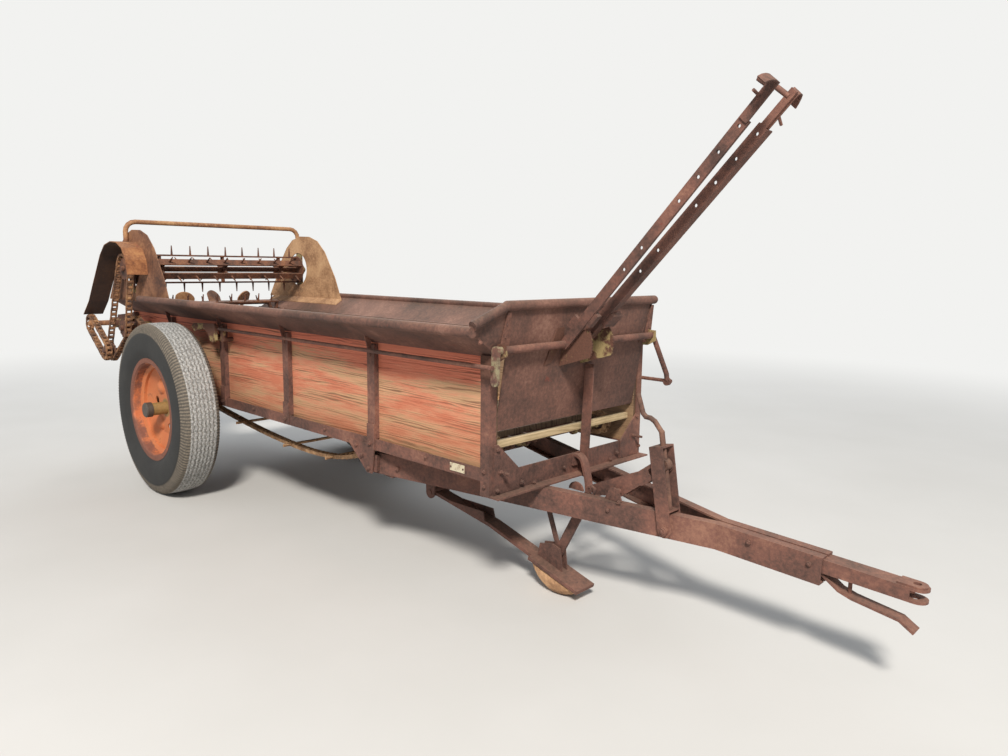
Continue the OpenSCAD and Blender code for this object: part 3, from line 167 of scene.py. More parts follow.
# Rusted steel: frame, flares, panel, arches, tongue, stand, levers, beaters.
# Rolled and pressed mild steel that was painted once and has stood outside for decades: brown rust in
# clouds a hand or two wide, mottled every 13 mm and pitted every 2 to 3 mm, with a few specks of paint.
def rusted_steel(name, tones, paint, paint_share, patch_mm=220, pit_depth=0.0006, dust=0.22):
    """Rust by layers of noise on Object coordinates: tones go from dark damp rust to dry bright rust."""
    made, tree, shader = finish(name)
    place = add(tree, "ShaderNodeTexCoord").outputs["Object"]
    clouds = add(tree, "ShaderNodeTexNoise", {"Vector": place, "Scale": 1000 / patch_mm, "Detail": 5,
                                              "Roughness": 0.62, "Distortion": 0.4})
    mottle = add(tree, "ShaderNodeTexNoise", {"Vector": place, "Scale": 75, "Detail": 5, "Roughness": 0.7})
    pits = add(tree, "ShaderNodeTexNoise", {"Vector": place, "Scale": 420, "Detail": 2, "Roughness": 0.6})
    level = add(tree, "ShaderNodeMath", {0: clouds.outputs["Fac"], 1: 0.62}, operation="MULTIPLY")
    level = add(tree, "ShaderNodeMath", {0: mottle.outputs["Fac"], 1: 0.38, 2: level.outputs[0]},
                operation="MULTIPLY_ADD")
    rust = add(tree, "ShaderNodeValToRGB", {"Fac": level.outputs[0]})
    ramp = rust.color_ramp.elements
    ramp[0].position, ramp[0].color = 0.36, linear(tones[0])
    ramp[1].position, ramp[1].color = 0.68, linear(tones[3])
    for spot, code in ((0.46, tones[1]), (0.55, tones[2])):
        ramp.new(spot).color = linear(code)
    flakes = add(tree, "ShaderNodeTexNoise", {"Vector": place, "Scale": 16, "Detail": 8, "Roughness": 0.72})
    kept = add(tree, "ShaderNodeMapRange", {"Value": flakes.outputs["Fac"], "From Min": 0.66 - paint_share,
                                            "From Max": 0.70 - paint_share})
    colour = add(tree, "ShaderNodeMix", {0: kept.outputs[0], 6: rust.outputs[0], 7: linear(paint)},
                 data_type="RGBA").outputs[2]
    up = add(tree, "ShaderNodeSeparateXYZ", {0: add(tree, "ShaderNodeNewGeometry").outputs["Normal"]})
    lies = add(tree, "ShaderNodeMapRange", {"Value": up.outputs["Z"], "From Min": 0.2, "From Max": 1.0,
                                            "To Max": dust})
    lies = add(tree, "ShaderNodeMath", {0: lies.outputs[0], 1: mottle.outputs["Fac"]},
               operation="MULTIPLY")
    colour = add(tree, "ShaderNodeMix", {0: lies.outputs[0], 6: colour, 7: linear("#b39a80")},
                 data_type="RGBA").outputs[2]
    tree.links.new(colour, shader.inputs["Base Color"])
    rough = add(tree, "ShaderNodeMapRange", {"Value": mottle.outputs["Fac"], "To Min": 0.66,
                                             "To Max": 0.92})
    tree.links.new(rough.outputs[0], shader.inputs["Roughness"])
    height = add(tree, "ShaderNodeMath", {0: pits.outputs["Fac"], 1: 0.5, 2: mottle.outputs["Fac"]},
                 operation="MULTIPLY_ADD")
    bump = add(tree, "ShaderNodeBump", {"Strength": 0.55, "Distance": pit_depth * 3,
                                        "Height": height.outputs[0]})
    tree.links.new(bump.outputs[0], shader.inputs["Normal"])
    return made


def dress(material, *names):
    """Gives CAD nodes their material."""
    for name in names:
        mesh = nodes[name].data
        mesh.materials.clear()
        mesh.materials.append(material)


FRAME_TONES = ("#3a2822", "#593d34", "#714b3f", "#8e6653")
frame_rust = rusted_steel("rolled_angle_brown_rust", FRAME_TONES, "#6e3a2e", 0.0, dust=0.16)
sheet_rust = rusted_steel("pressed_sheet_brown_rust", ("#3b2923", "#563c33", "#6d4b3f", "#8c6859"),
                          "#6e3a2e", 0.0, patch_mm=300, pit_depth=0.0004, dust=0.18)
tan_rust = rusted_steel("pressed_plate_tan_rust", ("#553728", "#85593d", "#a57a54", "#bf976d"),
                        "#7d4634", 0.0, patch_mm=180)
guard_rust = rusted_steel("guard_band_orange_rust", ("#482a1e", "#79492b", "#97633c", "#b38453"),
                          "#86422e", 0.01, patch_mm=140)
beater_rust = rusted_steel("beater_bar_dark_rust", ("#33211b", "#543528", "#6e4532", "#94623f"),
                           "#6b3526", 0.0, patch_mm=90)
shaft_rust = rusted_steel("turned_bar_dull_rust", ("#35241e", "#533a30", "#6b4b3d", "#86634f"),
                          "#5a3a30", 0.0, patch_mm=80)
dress(frame_rust, "sills", "stakes_right", "stakes_left", "front_frame", "distributor_arms",
      "tongue_right", "tongue_left", "tongue_plates", "hitch_head", "jack_bracket", "bell_crank",
      "stand_link", "stand_bracket", "stand_leg", "lever_left", "rod_right", "rod_left",
      "feed_arm")
dress(sheet_rust, "flare_right", "flare_left", "front_panel")
dress(tan_rust, "distributor", "hoop")
# The right arch has a darker copy of the plate rust as painted shade, the left arch a paler copy as painted
# sunlight; the stand's shoe shares the pale one
dress(rusted_steel("pressed_plate_rust_painted_shade", ("#452d22", "#6c4733", "#8a6045", "#a87d59"), "#7d4634",
                   0.0, patch_mm=170), "arch_right")
dress(rusted_steel("pressed_plate_pale_rust_painted_sunlit", ("#6e4f3a", "#9c7554", "#bd946e", "#d2ad83"), "#7d4634",
                   0.0, patch_mm=180), "arch_left", "stand_shoe")
dress(guard_rust, "chain_guard")
# Faces of the guard that look downward are painted nearly black: painted shade on its inner side, under the
# band
tree = guard_rust.node_tree
shader = tree.nodes["Principled BSDF"]
under = add(tree, "ShaderNodeSeparateXYZ", {0: add(tree, "ShaderNodeNewGeometry").outputs["Normal"]})
under = add(tree, "ShaderNodeMapRange", {"Value": under.outputs["Z"], "From Min": -0.06, "From Max": 0.02,
                                         "To Min": 0.86, "To Max": 0.0})
rust = shader.inputs["Base Color"].links[0].from_socket
painted_shade_under_guard = add(tree, "ShaderNodeMix", {0: under.outputs[0], 6: rust, 7: linear("#2b211d")},
              data_type="RGBA").outputs[2]
tree.links.new(painted_shade_under_guard, shader.inputs["Base Color"])
dress(beater_rust, "main_beater", "upper_beater")
# The arm at the outer end of the right torque rod keeps most of a pale grey-green paint
arm_rust = rusted_steel("rolled_angle_rust_pale_green_arm", FRAME_TONES, "#6e3a2e", 0.0, dust=0.16)
tree = arm_rust.node_tree
shader = tree.nodes["Principled BSDF"]
place = add(tree, "ShaderNodeTexCoord").outputs["Object"]
arm = add(tree, "ShaderNodeSeparateXYZ", {0: place})
arm_inner_y = -0.476
arm = add(tree, "ShaderNodeMath", {0: arm.outputs["Y"], 1: arm_inner_y}, operation="LESS_THAN")
flakes = add(tree, "ShaderNodeTexNoise", {"Vector": place, "Scale": 34, "Detail": 6, "Roughness": 0.65})
kept = add(tree, "ShaderNodeMapRange", {"Value": flakes.outputs["Fac"], "From Min": 0.46, "From Max": 0.62})
kept = add(tree, "ShaderNodeMath", {0: kept.outputs[0], 1: arm.outputs[0]}, operation="MULTIPLY")
rust = shader.inputs["Base Color"].links[0].from_socket
painted = add(tree, "ShaderNodeMix", {0: kept.outputs[0], 6: rust, 7: linear("#8c8366")},
              data_type="RGBA").outputs[2]
tree.links.new(painted, shader.inputs["Base Color"])
dress(arm_rust, "lever_right")
dress(shaft_rust, "axle", "low_shaft", "apron_shafts", "jack_screw", "jack_nut")


# Castings: bearings and clutch arm, with the two quadrants and their brackets.
# Grey iron cast in sand, so its skin is rough, in lumps of 8 mm down to 1 mm. It was painted ochre
# yellow: paint is left over about half of it, and the rest has gone to brown rust.
def ochre_casting(name, near_y, far_y):
    """Ochre paint over rust: the share of paint rises from y = near_y to y = far_y."""
    made, tree, shader = finish(name)
    place = add(tree, "ShaderNodeTexCoord").outputs["Object"]
    across = add(tree, "ShaderNodeSeparateXYZ", {0: place})
    side = add(tree, "ShaderNodeMapRange", {"Value": across.outputs["Y"], "From Min": near_y,
                                            "From Max": far_y, "To Min": -0.14, "To Max": 0.03})
    flakes = add(tree, "ShaderNodeTexNoise", {"Vector": place, "Scale": 14, "Detail": 8, "Roughness": 0.66})
    level = add(tree, "ShaderNodeMath", {0: flakes.outputs["Fac"], 1: side.outputs[0]}, operation="ADD")
    kept = add(tree, "ShaderNodeMapRange", {"Value": level.outputs[0], "From Min": 0.45, "From Max": 0.52})
    skin = add(tree, "ShaderNodeTexNoise", {"Vector": place, "Scale": 130, "Detail": 4, "Roughness": 0.65})
    paint = add(tree, "ShaderNodeMix", {0: skin.outputs["Fac"], 6: linear("#7d6a40"),
                                        7: linear("#a8946a")}, data_type="RGBA").outputs[2]
    rust = add(tree, "ShaderNodeMix", {0: skin.outputs["Fac"], 6: linear("#3d2920"),
                                       7: linear("#704838")}, data_type="RGBA").outputs[2]
    colour = add(tree, "ShaderNodeMix", {0: kept.outputs[0], 6: rust, 7: paint},
                 data_type="RGBA").outputs[2]
    tree.links.new(colour, shader.inputs["Base Color"])
    shader.inputs["Roughness"].default_value = 0.8
    bump = add(tree, "ShaderNodeBump", {"Strength": 0.6, "Distance": 0.0015, "Height": skin.outputs["Fac"]})
    tree.links.new(bump.outputs[0], shader.inputs["Normal"])
    return made


dress(ochre_casting("sand_cast_iron_ochre_paint", -2.6, 2.2), "bearings", "clutch_arm")
dress(ochre_casting("quadrant_plate_worn_ochre", -0.14, 0.04), "control_brackets")


# Wooden box: side boards, floor planks and the strip across the front.
# Sawn pine boards, painted red and then faded: orange-red paint in the soft early wood, brown lines of
# hard late wood that stand proud every 10 mm or so, and bare tan wood where rain took the paint. The
# end grain is darkened as painted shade, and the top band is painted brighter as painted sunlight.
def pine_grain(tree, place, line_mm, shift):
    """Late-wood lines along X: bands in Z whose place wanders with noise stretched 12 times along X,
    fading in and out; and the fine fibres between them."""
    run = add(tree, "ShaderNodeMapping", {"Vector": place, "Location": (shift, 0, shift * 0.37),
                                          "Scale": (0.08, 0.5, 1.0)})
    lines = add(tree, "ShaderNodeTexWave", {"Vector": run.outputs[0], "Scale": 314 / line_mm,
                                            "Distortion": 26.0, "Detail": 4.0, "Detail Scale": 0.3,
                                            "Detail Roughness": 0.65}, bands_direction="Z")
    seen = add(tree, "ShaderNodeMapping", {"Vector": place, "Scale": (2.1, 2.1, 38)})
    seen = add(tree, "ShaderNodeTexNoise", {"Vector": seen.outputs[0], "Scale": 1.0, "Detail": 5})
    seen = add(tree, "ShaderNodeMapRange", {"Value": seen.outputs["Fac"], "From Min": 0.36,
                                            "From Max": 0.62, "To Min": 0.08})
    lines = add(tree, "ShaderNodeMath", {0: lines.outputs["Fac"], 1: seen.outputs[0]},
                operation="MULTIPLY")
    fibre = add(tree, "ShaderNodeMapping", {"Vector": place, "Scale": (7, 160, 330)})
    fibres = add(tree, "ShaderNodeTexNoise", {"Vector": fibre.outputs[0], "Scale": 1.0, "Detail": 4})
    return lines.outputs[0], fibres.outputs["Fac"]


def faded_boards(name, outer_y):
    """Painted pine on the face beyond outer_y from the centre, bare grey-tan wood elsewhere."""
    made, tree, shader = finish(name)
    place = add(tree, "ShaderNodeTexCoord").outputs["Object"]
    lines, fibres = pine_grain(tree, place, 11, 0)
    spots = add(tree, "ShaderNodeSeparateXYZ", {0: place})
    stretched = add(tree, "ShaderNodeMapping", {"Vector": place, "Scale": (0.9, 1.3, 6.0)})
    weather = add(tree, "ShaderNodeTexNoise", {"Vector": stretched.outputs[0], "Scale": 2.3, "Detail": 9,
                                               "Roughness": 0.7})
    top = add(tree, "ShaderNodeMapRange", {"Value": spots.outputs["Z"], "From Min": 0.84, "From Max": 0.90,
                                           "To Max": 0.17})
    held = add(tree, "ShaderNodeMath", {0: weather.outputs["Fac"], 1: top.outputs[0]}, operation="ADD")
    held = add(tree, "ShaderNodeMath", {0: lines, 1: -0.16, 2: held.outputs[0]},
               operation="MULTIPLY_ADD")
    held = add(tree, "ShaderNodeMath", {0: fibres, 1: -0.10, 2: held.outputs[0]},
               operation="MULTIPLY_ADD")
    painted = add(tree, "ShaderNodeMapRange", {"Value": held.outputs[0], "From Min": 0.31,
                                               "From Max": 0.44, "To Max": 0.92})
    wood = add(tree, "ShaderNodeMix", {0: fibres, 6: linear("#cba680"), 7: linear("#9b7350")},
               data_type="RGBA").outputs[2]
    faded = add(tree, "ShaderNodeMapRange", {"Value": weather.outputs["Fac"], "From Min": 0.42,
                                             "From Max": 0.62})
    paint = add(tree, "ShaderNodeMix", {0: faded.outputs[0], 6: linear("#cf9373"),
                                        7: linear("#bd694e")}, data_type="RGBA").outputs[2]
    # Painted sunlight: the top band of the boards is painted a brighter red, standing in for sun on the
    # strip under the flare
    sunlit_top_band = add(tree, "ShaderNodeMapRange", {"Value": spots.outputs["Z"], "From Min": 0.80, "From Max": 0.88,
                                            "To Max": 0.8})
    paint = add(tree, "ShaderNodeMix", {0: sunlit_top_band.outputs[0], 6: paint, 7: linear("#d8735a")},
                data_type="RGBA").outputs[2]
    colour = add(tree, "ShaderNodeMix", {0: painted.outputs[0], 6: wood, 7: paint},
                 data_type="RGBA").outputs[2]
    late = add(tree, "ShaderNodeMapRange", {"Value": lines, "From Min": 0.42, "From Max": 0.95,
                                            "To Max": 0.72})
    colour = add(tree, "ShaderNodeMix", {0: late.outputs[0], 6: colour, 7: linear("#5b2b1e")},
                 data_type="RGBA").outputs[2]
    away = add(tree, "ShaderNodeMath", {0: spots.outputs["Y"]}, operation="ABSOLUTE")
    outside = add(tree, "ShaderNodeMath", {0: away.outputs[0], 1: outer_y}, operation="GREATER_THAN")
    dry = add(tree, "ShaderNodeMix", {0: fibres, 6: linear("#a98f70"), 7: linear("#7c6149")},
              data_type="RGBA").outputs[2]
    bare = add(tree, "ShaderNodeMix", {0: late.outputs[0], 6: dry, 7: linear("#564233")},
               data_type="RGBA").outputs[2]
    grimy = add(tree, "ShaderNodeTexNoise", {"Vector": stretched.outputs[0], "Scale": 5, "Detail": 6})
    shade = add(tree, "ShaderNodeMapRange", {"Value": grimy.outputs["Fac"], "From Min": 0.4,
                                             "From Max": 0.7, "To Max": 0.5})
    bare = add(tree, "ShaderNodeMix", {0: shade.outputs[0], 6: bare, 7: linear("#6d5240")},
               data_type="RGBA").outputs[2]
    colour = add(tree, "ShaderNodeMix", {0: outside.outputs[0], 6: bare, 7: colour},
                 data_type="RGBA").outputs[2]
    # Painted shade: faces that look forward, the boards' end grain, are darkened nearly to black-brown
    facing = add(tree, "ShaderNodeSeparateXYZ", {0: add(tree, "ShaderNodeNewGeometry").outputs["Normal"]})
    shaded_end_grain = add(tree, "ShaderNodeMath", {0: facing.outputs["X"], 1: 0.8}, operation="GREATER_THAN")
    shaded_end_grain = add(tree, "ShaderNodeMath", {0: shaded_end_grain.outputs[0], 1: 0.8}, operation="MULTIPLY")
    colour = add(tree, "ShaderNodeMix", {0: shaded_end_grain.outputs[0], 6: colour, 7: linear("#33241c")},
                 data_type="RGBA").outputs[2]
    low = add(tree, "ShaderNodeMapRange", {"Value": spots.outputs["Z"], "From Min": 0.50, "From Max": 0.74,
                                           "To Min": 0.55, "To Max": 0.0})
    colour = add(tree, "ShaderNodeMix", {0: low.outputs[0], 6: colour, 7: linear("#85603f")},
                 data_type="RGBA").outputs[2]
    tree.links.new(colour, shader.inputs["Base Color"])
    shader.inputs["Roughness"].default_value = 0.82
    height = add(tree, "ShaderNodeMath", {0: lines, 1: 1.0, 2: fibres}, operation="MULTIPLY_ADD")
    bump = add(tree, "ShaderNodeBump", {"Strength": 0.7, "Distance": 0.0016, "Height": height.outputs[0]})
    tree.links.new(bump.outputs[0], shader.inputs["Normal"])
    return made


dress(faded_boards("sawn_pine_faded_red_paint", 0.44), "boards_right", "boards_left")


def bare_planks(name, light, dark, line_mm, turn):
    """Unpainted planks that dried grey-tan, with the dirt of the load in their grain: turn, in
    degrees about X and Z, brings the grain's way to X and the face's cross way to Z."""
    made, tree, shader = finish(name)
    place = add(tree, "ShaderNodeTexCoord").outputs["Object"]
    turned = (math.radians(turn[0]), 0, math.radians(turn[1]))
    lay = add(tree, "ShaderNodeMapping", {"Vector": place, "Rotation": turned})
    lines, fibres = pine_grain(tree, lay.outputs[0], line_mm, 1.7)
    stain = add(tree, "ShaderNodeTexNoise", {"Vector": place, "Scale": 6, "Detail": 7, "Roughness": 0.65})
    level = add(tree, "ShaderNodeMath", {0: stain.outputs["Fac"], 1: 0.6}, operation="MULTIPLY")
    level = add(tree, "ShaderNodeMath", {0: lines, 1: 0.25, 2: level.outputs[0]},
                operation="MULTIPLY_ADD")
    level = add(tree, "ShaderNodeMath", {0: fibres, 1: 0.25, 2: level.outputs[0]},
                operation="MULTIPLY_ADD")
    tone = add(tree, "ShaderNodeValToRGB", {"Fac": level.outputs[0]})
    tone.color_ramp.elements[0].position = 0.36
    tone.color_ramp.elements[0].color = linear(light)
    tone.color_ramp.elements[1].position = 0.72
    tone.color_ramp.elements[1].color = linear(dark)
    tree.links.new(tone.outputs[0], shader.inputs["Base Color"])
    shader.inputs["Roughness"].default_value = 0.88
    bump = add(tree, "ShaderNodeBump", {"Strength": 0.7, "Distance": 0.002, "Height": level.outputs[0]})
    tree.links.new(bump.outputs[0], shader.inputs["Normal"])
    return made


dress(bare_planks("bare_weathered_floor_planks", "#84705a", "#544435", 18, (90, 0)), "floor")
dress(bare_planks("bare_dry_front_strip", "#c4ad88", "#8f7a58", 10, (0, 90)), "front_strip")


# Blank plate on the right sill.
# Thin stamped sheet in cream enamel, its face left bare, worn through to rust in small specks.
enamel, tree, shader = finish("stamped_plate_cream_enamel")
place = add(tree, "ShaderNodeTexCoord").outputs["Object"]
flakes = add(tree, "ShaderNodeTexNoise", {"Vector": place, "Scale": 45, "Detail": 7, "Roughness": 0.7})
spoilt = add(tree, "ShaderNodeMapRange", {"Value": flakes.outputs["Fac"], "From Min": 0.50,
                                          "From Max": 0.64})
colour = add(tree, "ShaderNodeMix", {0: spoilt.outputs[0], 6: linear("#c4b99f"), 7: linear("#7f604a")},
             data_type="RGBA").outputs[2]
tree.links.new(colour, shader.inputs["Base Color"])
shader.inputs["Roughness"].default_value = 0.5
dress(enamel, "name_plate")


# Wheels: pressed rim and disc with a long hub.
# Pressed steel in orange-red enamel that has gone chalky; it is rusty at the rim's flanges and in
# patches on the disc. The hub barrel was ochre, and its cap is dark greasy iron.
def wheel_enamel(name, centre_z):
    """Chalky orange-red by distance from the wheel's axis: ochre inside 52 mm, rusty beyond 245 mm."""
    made, tree, shader = finish(name)
    place = add(tree, "ShaderNodeTexCoord").outputs["Object"]
    centred = add(tree, "ShaderNodeMapping", {"Vector": place, "Location": (AXLE_BACK / 1000, 0, -centre_z),
                                              "Scale": (1, 0, 1)})
    reach = add(tree, "ShaderNodeVectorMath", {0: centred.outputs[0]},
                operation="LENGTH").outputs["Value"]
    clouds = add(tree, "ShaderNodeTexNoise", {"Vector": place, "Scale": 9, "Detail": 7, "Roughness": 0.68})
    mottle = add(tree, "ShaderNodeTexNoise", {"Vector": place, "Scale": 85, "Detail": 5, "Roughness": 0.7})
    enamel = add(tree, "ShaderNodeMix", {0: clouds.outputs["Fac"], 6: linear("#ad5330"),
                                         7: linear("#c98353")}, data_type="RGBA").outputs[2]
    rust = add(tree, "ShaderNodeMix", {0: mottle.outputs["Fac"], 6: linear("#4f3026"),
                                       7: linear("#8f5c4a")}, data_type="RGBA").outputs[2]
    edge = add(tree, "ShaderNodeMapRange", {"Value": reach, "From Min": 0.234, "From Max": 0.257,
                                            "To Min": 0.0, "To Max": 0.36})
    level = add(tree, "ShaderNodeMath", {0: clouds.outputs["Fac"], 1: edge.outputs[0]}, operation="ADD")
    level = add(tree, "ShaderNodeMath", {0: mottle.outputs["Fac"], 1: 0.35, 2: level.outputs[0]},
                operation="MULTIPLY_ADD")
    worn = add(tree, "ShaderNodeMapRange", {"Value": level.outputs[0], "From Min": 0.76, "From Max": 0.92})
    colour = add(tree, "ShaderNodeMix", {0: worn.outputs[0], 6: enamel, 7: rust},
                 data_type="RGBA").outputs[2]
    barrel = add(tree, "ShaderNodeMix", {0: mottle.outputs["Fac"], 6: linear("#66502f"),
                                         7: linear("#a3834f")}, data_type="RGBA").outputs[2]
    inner = add(tree, "ShaderNodeMapRange", {"Value": reach, "From Min": 0.046, "From Max": 0.056,
                                             "To Min": 1.0, "To Max": 0.0})
    colour = add(tree, "ShaderNodeMix", {0: inner.outputs[0], 6: colour, 7: barrel},
                 data_type="RGBA").outputs[2]
    across = add(tree, "ShaderNodeSeparateXYZ", {0: place})
    away = add(tree, "ShaderNodeMath", {0: across.outputs["Y"]}, operation="ABSOLUTE")
    outer = add(tree, "ShaderNodeMath", {0: away.outputs[0], 1: 0.7545}, operation="GREATER_THAN")
    cap = add(tree, "ShaderNodeMath", {0: outer.outputs[0], 1: inner.outputs[0]}, operation="MULTIPLY")
    grease = add(tree, "ShaderNodeMix", {0: mottle.outputs["Fac"], 6: linear("#231f1d"),
                                         7: linear("#5d5248")}, data_type="RGBA").outputs[2]
    colour = add(tree, "ShaderNodeMix", {0: cap.outputs[0], 6: colour, 7: grease},
                 data_type="RGBA").outputs[2]
    tree.links.new(colour, shader.inputs["Base Color"])
    rough = add(tree, "ShaderNodeMapRange", {"Value": worn.outputs[0], "To Min": 0.55, "To Max": 0.85})
    tree.links.new(rough.outputs[0], shader.inputs["Roughness"])
    bump = add(tree, "ShaderNodeBump", {"Strength": 0.5, "Distance": 0.0012, "Height": level.outputs[0]})
    tree.links.new(bump.outputs[0], shader.inputs["Normal"])
    return made


dress(wheel_enamel("pressed_wheel_orange_enamel", 0.465), "rim_right", "rim_left")


# Tyres: worn ribbed farm tyres, 930 mm over the tread.
# Moulded black rubber with a dark smooth sidewall. The tread has six zig-zag grooves between ribs worn
# grey, with fine radial lugs round the shoulders and road dust packed in the grooves.
def tyre_surface(centre_y, steps=332, zigzags=83):
    """Profile (radius, across) turned about the axle. Over the tread the radius falls by the groove's
    depth where |across - groove - amplitude * triangle(angle)| is small; the shoulder rises and falls
    every other step."""
    over_tread, groove_depth, lug_depth = 465.0, 5, 4.2
    # Columns: radius, across, from the outer bead over the tread
    wall = np.array([(254.3, 81.7), (268, 83), (280, 86), (296, 94), (314, 101.5), (335, 104.6),
                     (358, 105), (385, 104.4), (400, 103), (410, 101)])
    shoulder = np.array([(416, 99.6), (428, 97), (438, 94), (446, 90.5), (452, 86.5), (456.5, 81.5),
                         (459.5, 76), (461.4, 70)])
    across = np.linspace(-66, 66, 67)
    crown = np.stack([over_tread - 4.0 * (np.abs(across) / 70) ** 2.2, across], 1)
    profile = np.concatenate([wall * (1, -1), shoulder * (1, -1), crown, shoulder[::-1], wall[::-1]])
    kind = np.concatenate([np.zeros(len(wall)), np.full(len(shoulder), 0.5), np.ones(len(crown)),
                           np.full(len(shoulder), 0.5), np.zeros(len(wall))])
    turn = np.arange(steps) * 2 * np.pi / steps
    radius = np.repeat(profile[:, 0][None], steps, 0)
    side = np.repeat(profile[:, 1][None], steps, 0)
    sort = np.repeat(kind[None], steps, 0)
    wave = 2 * np.abs((turn * zigzags / (2 * np.pi)) % 1 - 0.5)[:, None] - 0.5
    sunk = np.zeros_like(radius)
    for groove in (-52, -31, -10, 10, 31, 52):
        off = np.abs(side - groove - 8 * wave)
        sunk = np.maximum(sunk, np.clip(1.5 - off / 2.4, 0, 1))
    radius -= np.where(sort == 1, groove_depth * sunk, 0)
    lug = (np.arange(steps) % 2)[:, None]
    radius -= np.where(sort == 0.5, lug_depth * lug, 0)
    side -= np.where(sort == 0.5, 2.0 * lug * np.sign(side), 0)
    worn = np.where(sort == 1, 1 - 0.32 * sunk, np.where(sort == 0.5, 0.72 - 0.6 * lug, 0.0))
    points = np.stack([radius * np.cos(turn)[:, None], side + centre_y,
                       radius * np.sin(turn)[:, None] + over_tread], 2)
    cols = len(profile)
    i, j = np.meshgrid(np.arange(steps), np.arange(cols - 1), indexing="ij")
    n = (i + 1) % steps
    faces = np.stack([i * cols + j, i * cols + j + 1, n * cols + j + 1, n * cols + j], -1).reshape(-1, 4)
    return points.reshape(-1, 3), faces, worn.reshape(-1)


def tyre_rubber():
    """Dark rubber on the walls, grey where the tread attribute says that the road wore it."""
    made, tree, shader = finish("moulded_rubber_worn_grey")
    place = add(tree, "ShaderNodeTexCoord").outputs["Object"]
    worn = add(tree, "ShaderNodeAttribute", attribute_name="worn").outputs["Fac"]
    dusty = add(tree, "ShaderNodeTexNoise", {"Vector": place, "Scale": 7, "Detail": 7, "Roughness": 0.68})
    grain = add(tree, "ShaderNodeTexNoise", {"Vector": place, "Scale": 115, "Detail": 5, "Roughness": 0.8})
    wall = add(tree, "ShaderNodeMix", {0: dusty.outputs["Fac"], 6: linear("#161719"),
                                       7: linear("#343331")}, data_type="RGBA").outputs[2]
    stony = add(tree, "ShaderNodeMapRange", {"Value": grain.outputs["Fac"], "From Min": 0.40,
                                             "From Max": 0.60})
    tread = add(tree, "ShaderNodeMix", {0: stony.outputs[0], 6: linear("#656462"),
                                        7: linear("#b4b2ae")}, data_type="RGBA").outputs[2]
    lug = add(tree, "ShaderNodeMix", {0: stony.outputs[0], 6: linear("#6f6458"), 7: linear("#9d907e")},
              data_type="RGBA").outputs[2]
    crown = add(tree, "ShaderNodeMapRange", {"Value": worn, "From Min": 0.72, "From Max": 0.80})
    tread = add(tree, "ShaderNodeMix", {0: crown.outputs[0], 6: lug, 7: tread},
                data_type="RGBA").outputs[2]
    colour = add(tree, "ShaderNodeMix", {0: worn, 6: wall, 7: tread}, data_type="RGBA").outputs[2]
    tree.links.new(colour, shader.inputs["Base Color"])
    shader.inputs["Roughness"].default_value = 0.82
    bump = add(tree, "ShaderNodeBump", {"Strength": 0.45, "Distance": 0.0012,
                                        "Height": grain.outputs["Fac"]})
    tree.links.new(bump.outputs[0], shader.inputs["Normal"])
    return made


rubber = tyre_rubber()
TYRE_Y = 673
for side, y in (("right", -TYRE_Y), ("left", TYRE_Y)):
    points, faces, worn = tyre_surface(y)
    tyre = new_piece(f"ribbed_tyre_{side}", on_the_machine(points), faces, rubber, f"{side}_wheel",
                     smooth=True)
    tyre.data.attributes.new("worn", "FLOAT", "POINT").data.foreach_set("value", worn)
    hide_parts(f"tyre_{side}")


# Chains: detachable malleable links on the right side and under the floor.
# Each link is a flat frame cast in malleable iron: two side bars, a round end bar, and a hook that
# clips over the next link's end bar. They are hooked together every 33 or 36 mm and rusted solid.
def joined(parts):
    """One mesh from several (points, faces) lists."""
    points, faces, start = [], [], 0
    for verts, polys in parts:
        points.append(np.asarray(verts, float))
        faces.extend([[i + start for i in f] for f in polys])
        start += len(verts)
    return np.concatenate(points), faces


def block(low, sunlit_top_band):
    """Box between two corners, as eight points and six outward faces."""
    x0, y0, z0 = low
    x1, y1, z1 = sunlit_top_band
    verts = [(x0, y0, z0), (x1, y0, z0), (x1, y1, z0), (x0, y1, z0),
             (x0, y0, z1), (x1, y0, z1), (x1, y1, z1), (x0, y1, z1)]
    return verts, [(0, 3, 2, 1), (4, 5, 6, 7), (0, 1, 5, 4), (1, 2, 6, 5), (2, 3, 7, 6), (3, 0, 4, 7)]


def cross_bar(x, z, radius, half, sides=8):
    """Round bar along Y: a ring of points radius from (x, z) at each end, with closed ends."""
    a = np.arange(sides) * 2 * np.pi / sides
    ring = np.stack([x + radius * np.cos(a), np.zeros(sides), z + radius * np.sin(a)], 1)
    verts = np.concatenate([ring - (0, half, 0), ring + (0, half, 0)])
    faces = [(k, sides + k, sides + (k + 1) % sides, (k + 1) % sides) for k in range(sides)]
    return verts, faces + [tuple(range(sides)), tuple(range(2 * sides - 1, sides - 1, -1))]


def chain_link(pitch, width, half):
    """One link from x = 0, its end bar, to x = pitch, its hook, half thick on each side of z = 0."""
    w, bar = width / 2, 6.5
    return joined([block((-3, -w, -half), (pitch + 1, -w + bar, half)),
                   block((-3, w - bar, -half), (pitch + 1, w, half)),
                   cross_bar(0, 0, half + 0.6, w - 0.5), cross_bar(pitch, 0, half + 4.4, w - 7)])


def evenly(path, pitch):
    """Points spaced evenly along a closed polyline, as near to pitch as makes whole links."""
    closed = np.concatenate([path, path[:1]])
    length = np.concatenate([[0], np.cumsum(np.linalg.norm(np.diff(closed, axis=0), axis=1))])
    count = int(round(length[-1] / pitch))
    at = np.arange(count) * length[-1] / count
    return np.stack([np.interp(at, length, closed[:, 0]), np.interp(at, length, closed[:, 1])], 1)


